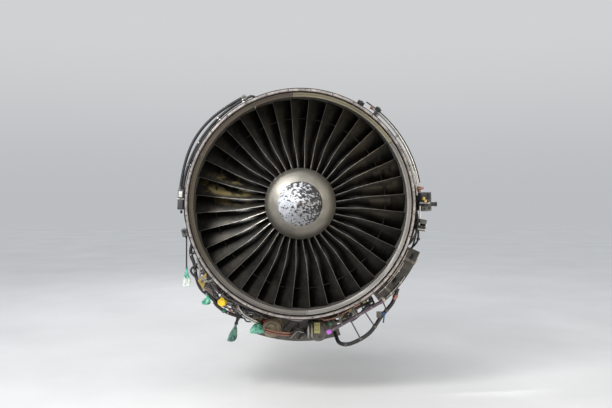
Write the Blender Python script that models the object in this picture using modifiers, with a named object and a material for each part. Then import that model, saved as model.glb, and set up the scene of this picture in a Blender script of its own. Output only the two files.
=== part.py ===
"""Two-spool turbofan engine without its cowls, hung by its two mounts.

Metres, +Z up. The shaft lies along Y with the fan towards -Y, so the fan is seen
from the front with +X to the right. The origin is the flat top of the forward mount.
Stations are distances behind the front flange. Clock angles run clockwise from the
top, seen from the front.
"""
import math

import bmesh
import bpy
from mathutils import Matrix, Vector

# Clearances
SEAT_GAP = 0.0003          # between pieces that touch
TIP_CLEARANCE = 0.0012     # blade tips to their casing
CUT_OVERRUN = 0.01         # how far a cutter runs past what it cuts

# Facets of the turned pieces
RING_STEPS = 36            # large rings, six facets for each acoustic panel
CORE_STEPS = 20            # casings of the core
SPINNER_STEPS = 24
INNER_STEPS = 10           # pieces inside the casings
CORNER_UP = -90.0          # clock of a turned form with a corner at the top
SHAFT_STEPS = 8            # shafts, bearings and small drums
FRAME_STEPS = 30           # fan frame's outer ring
TUBE_SIDES_LEVEL = 1       # bevel resolution of tubes, six sides
TUBE_FLAT_SHARE = 0.866    # distance of a tube's flat side in shares of its radius

# Fan case
FAN_TIP_RADIUS = 0.8675
CASE_LENGTH = 0.70
FLANGE_THICKNESS = 0.018
CASE_WALL = 0.018
CONTAINMENT_THICKNESS = 0.014
FRONT_FLANGE_HEIGHT = 0.0213
REAR_FLANGE_HEIGHT = 0.0383
CASE_BORE = FAN_TIP_RADIUS + TIP_CLEARANCE
CASE_SKIN = CASE_BORE + CASE_WALL
CASE_OUTSIDE = CASE_SKIN + CONTAINMENT_THICKNESS
FRONT_FLANGE_RADIUS = CASE_SKIN + FRONT_FLANGE_HEIGHT
REAR_FLANGE_RADIUS = CASE_SKIN + REAR_FLANGE_HEIGHT
CONTAINMENT_START = 0.22
CONTAINMENT_END = 0.46

# Acoustic panels
PANEL_COUNT = 6
PANEL_JOINT_CLOCK = -4.0   # degrees
PANEL_STEP = 0.0023        # how far the panels lie outside the blade tips' running bore
PANEL_RADIUS = CASE_BORE + PANEL_STEP
PANEL_THICKNESS = 0.008
PANEL_LIP = 0.0015
PANEL_START = 0.004
PANEL_END = 0.205
PANEL_CHAMFER = 0.026
PANEL_JOINT = 0.0012       # gap between two panels

# Fan rotor
BLADE_COUNT = 36
BLADE_CLOCK = 9.6          # degrees, middle of the first blade at its tip
HUB_FRONT_RADIUS = 0.29
HUB_REAR_RADIUS = 0.318
HUB_START = 0.235
HUB_END = 0.47
HUB_RIM = 0.028
DISK_MIDDLE = 0.35
DISK_THICKNESS = 0.05
DISK_SEAT_RADIUS = 0.165    # rear face of the disk, where the shaft is bolted on
BLADE_MIDDLE = 0.313       # station of the middle of every blade section
ROOT_CHORD = 0.135
TIP_CHORD = 0.172
BLADE_ROOT_DEPTH = 0.006   # root sunk in the hub
MIDDLE_SHARE = 0.36        # place of the section between the root and the wings
STAGGER_DEGREES = (17.0, 36.0, 52.0, 52.5, 60.0)
CAMBER_SHARES = (0.12, 0.085, 0.05, 0.05, 0.03)
THICKNESS_SHARES = (0.10, 0.065, 0.042, 0.042, 0.032)
LEAN_DEGREES = (1.0, -0.4, 0.0, 0.0, 0.0)
SECTION_SHARES = ((0.0, 0.0), (0.42, 1.0), (1.0, 0.0), (0.5, -1.0))
WING_RADIUS = 0.705        # mid-span support ring
WING_THICKNESS = 0.009
WING_CHORD = 0.05
WING_JOINT = 0.0008

# Spinner
SPINNER_TIP = -0.125
SPINNER_SPLIT = 0.045
SPINNER_WALL = 0.006
SPINNER_FULLNESS = 1.30
SPINNER_BLUNTNESS = 0.87
SPINNER_POINTS = 3

# Low-pressure shaft
LP_SHAFT_RADIUS = 0.05
FAN_STUB_RADIUS = 0.10
FAN_STUB_END = 0.62
FAN_SHAFT_FLANGE_RADIUS = 0.15
FAN_SHAFT_FLANGE = 0.02
LP_SHAFT_END = 2.56

# Booster
BOOSTER_START = 0.53
BOOSTER_CASE_END = 0.745
BOOSTER_CASE_RADIUS = 0.499
BOOSTER_CASE_WALL = 0.044
BOOSTER_LIP_DROP = 0.023
BOOSTER_CASE_LIP_RADIUS = BOOSTER_CASE_RADIUS - BOOSTER_LIP_DROP
BOOSTER_CASE_BORE = BOOSTER_CASE_RADIUS - BOOSTER_CASE_WALL
BOOSTER_DRUM_RADIUS = 0.30
BOOSTER_DRUM_WALL = 0.02
BOOSTER_DRUM_END = 0.73
BOOSTER_ROWS = 3
BOOSTER_TIP_GAP = 0.006
ROW_SHARE = 0.6            # place of the rear of a rotor row in its pitch

# Outlet guide vanes
GUIDE_VANE_COUNT = 20      # one on each facet of the ring
GUIDE_VANE_START = 0.60
GUIDE_VANE_END = 0.69
GUIDE_VANE_RING = 0.008
GUIDE_VANE_THICKNESS = 0.014
GUIDE_VANE_TURN = 22.0     # degrees
GUIDE_VANE_SHARES = ((0.0, 0.0), (0.4, 1.0), (1.0, 0.0))

# Fan frame
FRAME_START = CASE_LENGTH + SEAT_GAP
FRAME_END = 1.00
FRAME_BORE_STEP = 0.0033
FRAME_RING_WALL = 0.017
FRAME_RING_BORE = CASE_BORE + FRAME_BORE_STEP
FRAME_RING_RADIUS = FRAME_RING_BORE + FRAME_RING_WALL
FRAME_STRUTS = 5
STRUT_START = 0.785
STRUT_END = 0.955
STRUT_THICKNESS = 0.044
STRUT_SHARES = ((0.0, 0.0), (0.25, 1.0), (0.7, 1.0), (1.0, 0.0), (0.7, -1.0), (0.25, -1.0))
SPLITTER_START = BOOSTER_CASE_END + SEAT_GAP
SPLITTER_STEP = 0.015
SPLITTER_TAPER = 0.034
SPLITTER_FRONT_BORE = BOOSTER_CASE_BORE - SPLITTER_STEP
SPLITTER_REAR_RADIUS = BOOSTER_CASE_RADIUS - SPLITTER_TAPER
SPLITTER_REAR_BORE = 0.352
FRAME_HUB_START = 0.76
FRAME_HUB_FRONT_RADIUS = 0.325
FRAME_HUB_REAR_RADIUS = 0.25
FRAME_HUB_FRONT_BORE = 0.21

# High-pressure compressor
COMPRESSOR_END = 1.60
COMPRESSOR_FRONT_BORE = SPLITTER_REAR_BORE
COMPRESSOR_REAR_BORE = 0.311
COMPRESSOR_WALL = 0.013
CORE_FLANGE = 0.018
COMPRESSOR_FRONT_FLANGE = 0.42
COMPRESSOR_REAR_FLANGE = 0.372
COMPRESSOR_ROWS = 3
HIGH_STUB_RADIUS = 0.075
HIGH_DRUM_START = 1.04
HIGH_DRUM_FRONT_RADIUS = 0.20
HIGH_DRUM_REAR_RADIUS = 0.262
HIGH_NECK = 0.012
HIGH_DRUM_END = 1.58
HIGH_TIP_GAP = 0.006

# Combustor
COMBUSTOR_END = 1.90
COMBUSTOR_BORE = 0.408
COMBUSTOR_WALL = 0.012
COMBUSTOR_SWELL = 0.075
COMBUSTOR_FLANGE_HEIGHT = 0.03
COMBUSTOR_REAR_FLANGE = COMBUSTOR_BORE + COMBUSTOR_WALL + COMBUSTOR_FLANGE_HEIGHT
LINER_START = 1.69
LINER_GAP = 0.02
LINER_DEPTH = 0.103
LINER_OUTER = COMBUSTOR_BORE - LINER_GAP
LINER_INNER = LINER_OUTER - LINER_DEPTH
LINER_WALL = 0.006

# Turbines
TURBINE_END = 2.42
HIGH_TURBINE_BORE = 0.366
HIGH_TURBINE_END = 1.99
TURBINE_REAR_BORE = 0.560
TURBINE_WALL = 0.014
TURBINE_FLANGE_HEIGHT = 0.04
TURBINE_REAR_FLANGE = TURBINE_REAR_BORE + TURBINE_FLANGE_HEIGHT
HIGH_SHAFT_BORE = 0.062
HIGH_SHAFT_RADIUS = 0.078
HIGH_DISK_START = 1.925
HIGH_DISK_END = 1.965
HIGH_SHAFT_END = 2.015
LP_TURBINE_ROWS = 3
LP_TURBINE_START = 2.05
LP_TURBINE_LAST = 2.37
LP_TURBINE_DRUM = 0.335
LP_TURBINE_WALL = 0.02
LP_TURBINE_WEB = 2.30
LP_TURBINE_WEB_THICKNESS = 0.03

# Rear frame and exhaust plug
REAR_FRAME_END = 2.60
REAR_FRAME_STRUTS = 5
REAR_HUB_RADIUS = 0.285
REAR_HUB_START = 2.44
REAR_HUB_WALL = 0.022
REAR_STRUT_START = 2.46
REAR_STRUT_END = 2.58
REAR_STRUT_THICKNESS = 0.026
PLUG_END = 2.93
PLUG_TIP_RADIUS = 0.075
PLUG_WALL = 0.005

# Main bearings
BEARING_WIDTH = 0.03
FRONT_BEARING_START = 0.50
SECOND_BEARING_START = 0.58
FRONT_BEARING_RADIUS = 0.145
SUPPORT_WALL = 0.012
THIRD_BEARING_START = 0.967
THIRD_BEARING_RADIUS = 0.115
FOURTH_BEARING_START = 1.98
FIFTH_BEARING_START = 2.505
FIFTH_BEARING_RADIUS = 0.088

# Mounts
MOUNT_HEIGHT = 0.50        # engine axis to the top of the forward mount
MOUNT_WIDTH = 0.26
MOUNT_LENGTH = 0.10
MOUNT_FOOT_WIDTH = 0.20
MOUNT_FOOT_HEIGHT = 0.08
AFT_MOUNT_HEIGHT = 0.665
AFT_MOUNT_START = 2.47
AFT_MOUNT_LENGTH = 0.08
AFT_MOUNT_WIDTH = 0.20

# Gearboxes and drive
DRIVE_STATION = 0.87
DRIVE_SHAFT_RADIUS = 0.012
DRIVE_BORE = 0.016
GEARBOX_START = 0.34
GEARBOX_END = 0.56
GEARBOX_CLEARANCE = 0.01
GEARBOX_HEIGHT = 0.215
GEARBOX_INNER = REAR_FLANGE_RADIUS + GEARBOX_CLEARANCE
GEARBOX_OUTER = GEARBOX_INNER + GEARBOX_HEIGHT
GEARBOX_FLANGE = 0.02
GEARBOX_FLANGE_LENGTH = 0.03
GEARBOX_FROM_CLOCK = 163.0
GEARBOX_TO_CLOCK = 199.0
GEARBOX_STEPS = 5
GEARBOX_FEET = (1, 3)      # facets that carry a mounting foot
TRANSFER_START = 0.79
TRANSFER_END = 0.95
TRANSFER_RISE = 0.05       # of its bottom over that of the accessory gearbox
TRANSFER_BOTTOM = GEARBOX_OUTER - TRANSFER_RISE
TRANSFER_WIDTH = 0.15
LAYSHAFT_RADIUS = 0.014
LAYSHAFT_DEPTH = (GEARBOX_INNER + GEARBOX_OUTER) / 2

# Accessories on the gearbox: clock, radius from the axis, body radius, length
STARTER_CLOCK = 193.0
STARTER_RADIUS = 0.075
STARTER_LENGTH = 0.17
GENERATOR_CLOCK = 172.0
GENERATOR_RADIUS = 0.08
GENERATOR_LENGTH = 0.22
FUEL_PUMP_CLOCK = 189.0
FUEL_PUMP_RADIUS = 0.07
FUEL_PUMP_LENGTH = 0.16
ACCESSORY_FLANGE = 0.012
ACCESSORY_REACH = (GEARBOX_INNER + GEARBOX_OUTER) / 2

# Oil tank
TANK_FROM_CLOCK = 112.0
TANK_TO_CLOCK = 141.0
TANK_STEPS = 4
TANK_FEET = (0, 3)
TANK_CLEARANCE = 0.0113
TANK_INNER = CASE_OUTSIDE + TANK_CLEARANCE
TANK_HEIGHT = 0.123
TANK_OUTER = TANK_INNER + TANK_HEIGHT
TANK_START = 0.11
TANK_END = 0.46
TANK_BEVEL = 0.014
CAP_RADIUS = 0.032
CAP_HEIGHT = 0.022
CAP_STATION = 0.20
CAP_FACET = 0

# Control unit and the boxes on the fan case
CONTROL_CLOCK = 89.0
CONTROL_WIDTH = 0.15
CONTROL_LENGTH = 0.26
CONTROL_HEIGHT = 0.085
CONTROL_STAND_HEIGHT = 0.0713
CONTROL_INNER = CASE_OUTSIDE + CONTROL_STAND_HEIGHT
CONTROL_START = 0.15
SMALL_BOX_CLOCK = 100.0
SMALL_BOX_WIDTH = 0.095
SMALL_BOX_LENGTH = 0.14
SMALL_BOX_HEIGHT = 0.058
SMALL_BOX_STAND_HEIGHT = 0.0713
SMALL_BOX_INNER = CASE_OUTSIDE + SMALL_BOX_STAND_HEIGHT
LEFT_BOX_CLOCK = 272.0
LEFT_BOX_WIDTH = 0.163
LEFT_BOX_LENGTH = 0.10
LEFT_BOX_HEIGHT = 0.05
LEFT_BOX_STAND_HEIGHT = 0.0393
LEFT_BOX_INNER = CASE_OUTSIDE + LEFT_BOX_STAND_HEIGHT
VALVE_CLOCK = 228.0
VALVE_STAND_HEIGHT = 0.0743
VALVE_RADIUS = 0.045
VALVE_LENGTH = 0.15
VALVE_START = 0.15
BOX_BEVEL = 0.006

# Tubes on the fan case
TUBE_STATION = 0.235
HARNESS_RADIUS = 0.012
HARNESS_STAND_HEIGHT = 0.0673
HARNESS_FROM_CLOCK = 277.0
HARNESS_TO_CLOCK = 331.0
HARNESS_BULGE = 0.024
SUPPLY_TUBE_RADIUS = 0.010
SUPPLY_STAND_HEIGHT = 0.0783
SUPPLY_FROM_CLOCK = 36.0
SUPPLY_TO_CLOCK = 81.0
SUPPLY_END_CLOCK = 84.5
TUBE_SPANS = 9
CLAMP_WIDTH = 0.03
CLAMP_LENGTH = 0.014
CLAMP_SAG = 0.0008         # how far a bent tube dips at a clamp's edge
FOOT_WIDTH = 0.03
HARNESS_CLAMP_CLOCKS = (301.0, 331.0)   # middles of facets of the case
SUPPLY_CLAMP_CLOCKS = (41.0, 71.0)
HOSE_RADIUS = 0.014
HOSE_SPANS = 12
DUCT_RADIUS = 0.016
DUCT_STATION = 0.20
DUCT_SPANS = 9
DRAIN_TUBE_RADIUS = 0.014
PORT_CLOCK = 218.5
PORT_STAND_HEIGHT = 0.1113
PORT_RADIUS = 0.028
PORT_START = 0.16
PORT_LENGTH = 0.17
PORT_CAP_RADIUS = 0.036
PORT_CAP_LENGTH = 0.04

# Distances of the pieces on stands from the shaft line
VALVE_REACH = CASE_OUTSIDE + VALVE_STAND_HEIGHT
PORT_REACH = CASE_OUTSIDE + PORT_STAND_HEIGHT
HARNESS_REACH = CASE_OUTSIDE + HARNESS_STAND_HEIGHT
SUPPLY_TUBE_REACH = CASE_OUTSIDE + SUPPLY_STAND_HEIGHT

# Routes of the hose and the duct: clock angle, share of the fan tip radius and share
# of the fan case's length
HOSE_ROUTE_SHARES = (
    (251.0, 1.0352, 0.35), (251.0, 1.075, 0.35), (246.0, 1.13, 0.32), (240.3, 1.145, 0.29),
    (234.0, 1.20, 0.286), (229.0, 1.226, 0.286), (223.0, 1.212, 0.286), (217.0, 1.236, 0.29),
    (210.0, 1.22, 0.34), (204.0, 1.20, 0.46), (201.0, 1.20, 0.60), (199.04, 1.20, 0.60))
DUCT_ROUTE_SHARES = (
    (164.2, 1.364, 0.32), (160.0, 1.395, 0.286), (152.0, 1.376, 0.286), (144.0, 1.300, 0.286),
    (137.0, 1.268, 0.286))
DRAIN_TUBE_CLOCKS = (166.8, 139.5)
DRAIN_TUBE_DROP = 0.026    # of its left end

# Variable stator vanes
UNISON_STATION = 1.14
UNISON_WIDTH = 0.024
UNISON_HEIGHT = 0.016
LUG_SIZE = 0.024
ACTUATOR_RADIUS = 0.022
ACTUATOR_LENGTH = 0.15
ROD_RADIUS = 0.009
ROD_TRAVEL = 0.016

# Fuel manifold
MANIFOLD_STATION = 1.77
MANIFOLD_RADIUS = 0.009

# Hanging lead on the left, its bracket and its pouch
LEAD_RADIUS = 0.006
LEAD_LENGTH = 0.235
LEAD_SPANS = 9
LEAD_SHARES = (0.15, 0.5, 1.0)
LEAD_STATION = 0.18
LEAD_BLOCK_CLOCK = 256.0
LEAD_BLOCK_WIDTH = 0.06
LEAD_BLOCK_LENGTH = 0.06
LEAD_BLOCK_HEIGHT = 0.045
POUCH_LENGTH = 0.165
POUCH_NECK_RADIUS = 0.013
POUCH_RADIUS = 0.030

COLLECTION = bpy.data.collections.new("jet_engine")
CUTTERS = bpy.data.collections.new("cutters")


def look(name, colour, roughness, metallic=0.0):
    """A material with the piece's colour, roughness and metallic value."""
    material = bpy.data.materials.new(name)
    material.use_nodes = True
    shader = material.node_tree.nodes["Principled BSDF"]
    shader.inputs["Base Color"].default_value = (*colour, 1.0)
    shader.inputs["Roughness"].default_value = roughness
    shader.inputs["Metallic"].default_value = metallic
    return material


# Colour, roughness and metallic value of each kind of surface
OLIVE_PAINT = ((0.30, 0.28, 0.22), 0.45, 0.0)
GREY_METAL = ((0.36, 0.34, 0.35), 0.42, 0.8)
BARE_METAL = ((0.55, 0.54, 0.52), 0.32, 1.0)
DARK_BLADE = ((0.07, 0.07, 0.068), 0.38, 0.7)
SPINNER_METAL = ((0.62, 0.60, 0.56), 0.30, 0.9)
CHIPPED_WHITE = ((0.66, 0.68, 0.72), 0.5, 0.0)
HOT_METAL = ((0.38, 0.33, 0.28), 0.40, 1.0)
STEEL = ((0.48, 0.47, 0.46), 0.30, 1.0)
CAST_GREY = ((0.33, 0.33, 0.31), 0.55, 0.3)
BLACK_PLASTIC = ((0.02, 0.02, 0.022), 0.5, 0.0)
DARK_GREY_PAINT = ((0.07, 0.07, 0.075), 0.55, 0.1)
YELLOW_PLASTIC = ((0.85, 0.62, 0.03), 0.45, 0.0)
GREEN_FILM = ((0.12, 0.45, 0.33), 0.4, 0.0)


def finish(piece, surface, parent):
    """Gives a piece its material and hangs it on the empty that carries it."""
    piece.data.materials.append(look(piece.name, *surface))
    COLLECTION.objects.link(piece)
    piece.parent = parent
    return piece


def as_cutter(piece, parent):
    """Keeps a shape that only cuts or joins another one."""
    CUTTERS.objects.link(piece)
    piece.parent = parent
    piece.hide_render = True
    piece.display_type = "WIRE"
    return piece


def combine(piece, tool, operation):
    """Joins a shape to a piece, or cuts it out of the piece."""
    modifier = piece.modifiers.new(tool.name, "BOOLEAN")
    modifier.operation = operation
    modifier.object = tool
    modifier.solver = "EXACT"
    return modifier


def circumscribed(radius, steps):
    """Corner radius of a polygon whose flat sides lie at the given radius."""
    return radius / math.cos(math.pi / steps)


def flat_up(steps):
    """Turn in degrees that puts the middle of a facet at the top."""
    return 180.0 / steps


def at_clock(clock, radius, station):
    """Point at a clock angle, a distance from the shaft line and a station."""
    angle = math.radians(clock)
    return Vector((radius * math.sin(angle), station, radius * math.cos(angle)))


def smooth(mesh, degrees=40.0):
    """Shades a mesh smooth and keeps its sharp edges."""
    mesh.shade_smooth()
    mesh.set_sharp_from_angle(angle=math.radians(degrees))


def turned(name, outline, steps, closed=True, clock=None, centre=(0.0, 0.0)):
    """Turns an outline of (station, radius) points about a line along Y.

    A closed outline runs back along its bore and forward along its outside. An open
    one starts and ends on the line. Without a clock angle a facet lies at the top.
    """
    mesh = bpy.data.meshes.new(name)
    last = len(outline) - 1
    edges = [(index, index + 1) for index in range(last)]
    if closed:
        edges.append((last, 0))
    mesh.from_pydata([(radius, station, 0.0) for station, radius in outline], edges, [])
    piece = bpy.data.objects.new(name, mesh)
    piece.location = (centre[0], 0.0, centre[1])
    piece.rotation_euler.y = math.radians(flat_up(steps) - 90.0 if clock is None else clock)
    screw = piece.modifiers.new("turn", "SCREW")
    screw.axis = "Y"
    screw.steps = screw.render_steps = steps
    screw.use_merge_vertices = True
    screw.merge_threshold = 0.0001
    return piece


def from_bmesh(name, shape):
    """Makes an object from a bmesh with its faces pointing out."""
    bmesh.ops.recalc_face_normals(shape, faces=shape.faces)
    mesh = bpy.data.meshes.new(name)
    shape.to_mesh(mesh)
    shape.free()
    smooth(mesh)
    return bpy.data.objects.new(name, mesh)


def sector(name, outline, from_clock, to_clock, steps):
    """Sweeps a closed outline of (station, radius) points through a range of clock angles."""
    shape = bmesh.new()
    corners = [shape.verts.new((0.0, station, radius)) for station, radius in outline]
    face = shape.faces.new(corners)
    turn = Matrix.Rotation(math.radians(from_clock), 4, "Y")
    bmesh.ops.transform(shape, matrix=turn, verts=shape.verts)
    bmesh.ops.spin(
        shape, geom=[face, *face.verts, *face.edges], cent=(0.0, 0.0, 0.0), axis=(0.0, 1.0, 0.0),
        dvec=(0.0, 0.0, 0.0), angle=math.radians(to_clock - from_clock), steps=steps,
        use_duplicate=False)
    return from_bmesh(name, shape)


def prism(name, outline, travel):
    """Extrudes a flat outline of points along a vector."""
    shape = bmesh.new()
    face = shape.faces.new([shape.verts.new(point) for point in outline])
    raised = bmesh.ops.extrude_face_region(shape, geom=[face])
    corners = [item for item in raised["geom"] if isinstance(item, bmesh.types.BMVert)]
    bmesh.ops.translate(shape, vec=travel, verts=corners)
    return from_bmesh(name, shape)


def block(name, clock, inner, start, size, bevel=0.0):
    """A box of width, length and height whose foot lies at a distance from the shaft line."""
    width, length, height = size
    shape = bmesh.new()
    bmesh.ops.create_cube(shape, size=1.0)
    bmesh.ops.scale(shape, vec=size, verts=shape.verts)
    piece = from_bmesh(name, shape)
    piece.location = at_clock(clock, inner + height / 2, start + length / 2)
    piece.rotation_euler.y = math.radians(clock)
    if bevel:
        edge = piece.modifiers.new("edges", "BEVEL")
        edge.width = bevel
        edge.segments = 1
    return piece


def canister(name, outline, clock, reach, steps=SHAFT_STEPS):
    """A turned piece whose own line runs along Y at a clock angle and a distance."""
    centre = at_clock(clock, reach, 0.0)
    return turned(name, outline, steps, closed=False, clock=0.0, centre=(centre.x, centre.z))


def tube(name, points, radius, level=TUBE_SIDES_LEVEL):
    """A tube with filled ends along a list of points."""
    curve = bpy.data.curves.new(name, "CURVE")
    curve.dimensions = "3D"
    curve.bevel_depth = radius
    curve.bevel_resolution = level
    curve.use_fill_caps = True
    spline = curve.splines.new("POLY")
    spline.points.add(len(points) - 1)
    for place, point in zip(spline.points, points):
        place.co = (*point, 1.0)
    spline.use_smooth = True
    return bpy.data.objects.new(name, curve)


def smooth_route(route, count):
    """Evenly chosen points on a smooth curve through the points of a route."""
    points = [Vector(point) for point in route]
    points = [2 * points[0] - points[1], *points, 2 * points[-1] - points[-2]]
    spans = len(points) - 3
    result = []
    for index in range(count + 1):
        place = index / count * spans
        span = min(int(place), spans - 1)
        t = place - span
        a, b, c, d = points[span:span + 4]
        result.append(0.5 * (
            2 * b + (c - a) * t + (2 * a - 5 * b + 4 * c - d) * t ** 2
            + (3 * b - a - 3 * c + d) * t ** 3))
    return result


def repeated(name, piece, count, first_clock=0.0):
    """Copies a shape round the shaft line into one cutter."""
    shape = bmesh.new()
    for index in range(count):
        turn = Matrix.Rotation(math.radians(first_clock + 360.0 * index / count), 4, "Y")
        copy = piece.data.copy()
        copy.transform(turn @ piece.matrix_basis)
        shape.from_mesh(copy)
        bpy.data.meshes.remove(copy)
    result = from_bmesh(name, shape)
    bpy.data.objects.remove(piece)
    return result


def along(start, end, share):
    """Value part of the way from one value to another."""
    return start + (end - start) * share


def between(station, line):
    """Radius at a station of a straight line through two (station, radius) points."""
    (start, first), (end, last) = line
    return along(first, last, (station - start) / (end - start))


# Fan

def spinner_radius(station):
    """Radius of the spinner at a station."""
    depth = (HUB_START - station) / (HUB_START - SPINNER_TIP)
    return HUB_FRONT_RADIUS * (1 - depth ** SPINNER_FULLNESS) ** SPINNER_BLUNTNESS


def spinner_line(rear, front):
    """Outside of the spinner from a rear station to a front one."""
    stations = [along(rear, front, index / (SPINNER_POINTS - 1)) for index in range(SPINNER_POINTS)]
    return [(station, spinner_radius(station)) for station in stations]


def make_spinner(lp_axis):
    rear = HUB_START - SEAT_GAP
    split = SPINNER_SPLIT + SEAT_GAP
    cone = [(split, spinner_radius(split) - SPINNER_WALL), (rear, spinner_radius(rear) - SPINNER_WALL)]
    cone += spinner_line(rear, split)
    finish(turned("spinner_rear_cone", cone, SPINNER_STEPS), SPINNER_METAL, lp_axis)
    inside = spinner_radius(SPINNER_SPLIT) - SPINNER_WALL
    nose = [(SPINNER_TIP + 2 * SPINNER_WALL, 0.0), (SPINNER_SPLIT, inside)]
    nose += spinner_line(SPINNER_SPLIT, SPINNER_TIP)
    finish(turned("spinner_front_cone", nose, SPINNER_STEPS, closed=False), CHIPPED_WHITE, lp_axis)


def blade_radii():
    """Radii of the sections of a blade, two of them at the faces of its wings."""
    root = HUB_FRONT_RADIUS - BLADE_ROOT_DEPTH
    return (
        root, along(root, FAN_TIP_RADIUS, MIDDLE_SHARE), WING_RADIUS - WING_THICKNESS / 2,
        WING_RADIUS + WING_THICKNESS / 2, FAN_TIP_RADIUS)


def blade_section(index, radius):
    """Points round a blade at one of its sections, the nose first."""
    root = HUB_FRONT_RADIUS - BLADE_ROOT_DEPTH
    share = (radius - root) / (FAN_TIP_RADIUS - root)
    chord = along(ROOT_CHORD, TIP_CHORD, share)
    stagger = math.radians(STAGGER_DEGREES[index])
    points = []
    for place, side in SECTION_SHARES:
        rise = chord * (4 * CAMBER_SHARES[index] * place * (1 - place) + side * THICKNESS_SHARES[index] / 2)
        back = (place - 0.5) * chord
        aft = back * math.cos(stagger) - rise * math.sin(stagger)
        round_shaft = back * math.sin(stagger) + rise * math.cos(stagger)
        clock = LEAN_DEGREES[index] + math.degrees(round_shaft / radius)
        points.append(at_clock(clock, radius, BLADE_MIDDLE + aft))
    return points


def wing_end(way, radii):
    """Corners of a wing's end, on the plane half way to the next blade."""
    half_joint = math.degrees(WING_JOINT / 2 / WING_RADIUS)
    clock = way * (180.0 / BLADE_COUNT - half_joint)
    front = BLADE_MIDDLE - WING_CHORD / 2
    rear = BLADE_MIDDLE + WING_CHORD / 2
    return {
        (radius, station): at_clock(clock, radius, station)
        for radius in radii for station in (front, rear)}


def make_blade():
    """One fan blade with a wing on each face that meets its neighbour's."""
    shape = bmesh.new()
    radii = blade_radii()
    rings = [[shape.verts.new(p) for p in blade_section(i, radius)] for i, radius in enumerate(radii)]
    count = len(SECTION_SHARES)
    sides = {}
    for lower in range(len(rings) - 1):
        for index in range(count):
            following = (index + 1) % count
            corners = (
                rings[lower][index], rings[lower][following], rings[lower + 1][following],
                rings[lower + 1][index])
            sides[lower, index] = shape.faces.new(corners)
    shape.faces.new(rings[0])
    shape.faces.new(rings[-1])
    wing_span = radii[2:4]
    for way, index in ((1, 1), (-1, 3)):
        face = sides[2, index]
        ends = wing_end(way, wing_span)
        grown = bmesh.ops.extrude_discrete_faces(shape, faces=[face])["faces"][0]
        corners = sorted(grown.verts, key=lambda corner: corner.co.xz.length)
        for pair, radius in ((corners[:2], wing_span[0]), (corners[2:], wing_span[1])):
            stations = sorted(station for reach, station in ends if reach == radius)
            for corner, station in zip(sorted(pair, key=lambda item: item.co.y), stations):
                corner.co = ends[radius, station]
    return from_bmesh("fan_blade", shape)


def make_fan_rotor(lp_axis):
    rim_front = HUB_FRONT_RADIUS - HUB_RIM
    web_start = DISK_MIDDLE - DISK_THICKNESS / 2
    web_end = DISK_MIDDLE + DISK_THICKNESS / 2
    outline = [
        (web_end, 0.0), (web_end, DISK_SEAT_RADIUS), (HUB_END, HUB_REAR_RADIUS - HUB_RIM),
        (HUB_END, HUB_REAR_RADIUS), (HUB_START, HUB_FRONT_RADIUS), (HUB_START, rim_front),
        (web_start, 0.0)]
    facet = BLADE_CLOCK + LEAN_DEGREES[0] + flat_up(BLADE_COUNT)
    rotor = turned("fan_rotor", outline, BLADE_COUNT, closed=False, clock=facet)
    blades = as_cutter(repeated("fan_blades", make_blade(), BLADE_COUNT, BLADE_CLOCK), lp_axis)
    finish(rotor, DARK_BLADE, lp_axis)
    combine(rotor, blades, "UNION")


def make_panels(root):
    outside = PANEL_RADIUS + PANEL_THICKNESS
    pitch = 360.0 / PANEL_COUNT
    half_joint = math.degrees(PANEL_JOINT / 2 / PANEL_RADIUS)
    outline = [
        (PANEL_START, PANEL_RADIUS), (PANEL_END, PANEL_RADIUS), (PANEL_END, outside),
        (PANEL_START + PANEL_CHAMFER, outside), (PANEL_START, PANEL_RADIUS + PANEL_LIP)]
    for index in range(PANEL_COUNT):
        start = PANEL_JOINT_CLOCK + index * pitch
        panel = sector(
            f"acoustic_panel_{index + 1}", outline, start + half_joint, start + pitch - half_joint,
            RING_STEPS // PANEL_COUNT)
        finish(panel, OLIVE_PAINT, root)


def post(name, clock, station, top, foot):
    """A stand-off bracket on a casing, its top a seat gap below what it carries."""
    return block(
        name, clock, foot, station - CLAMP_LENGTH / 2, (CLAMP_WIDTH, CLAMP_LENGTH, top - SEAT_GAP - foot))


def case_outside(clock, half_width):
    """Height of the fan case's faceted outside under a foot, measured along the foot."""
    facet = 360.0 / RING_STEPS
    off = (clock - PANEL_JOINT_CLOCK) % facet - facet / 2
    turn = math.radians(abs(off))
    flat = CASE_OUTSIDE * math.cos(math.radians(facet / 2))
    return min(CASE_OUTSIDE, (flat + half_width * math.sin(turn)) / math.cos(turn))


def add_foot(piece, clock, station, top, root):
    """Joins a mounting foot to a piece, from inside it down to the containment ring."""
    low = case_outside(clock, FOOT_WIDTH / 2) + SEAT_GAP
    size = (FOOT_WIDTH, FOOT_WIDTH, top - low)
    foot = block(f"{piece.name}_foot", clock, low, station - FOOT_WIDTH / 2, size)
    combine(piece, as_cutter(foot, root), "UNION")


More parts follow.
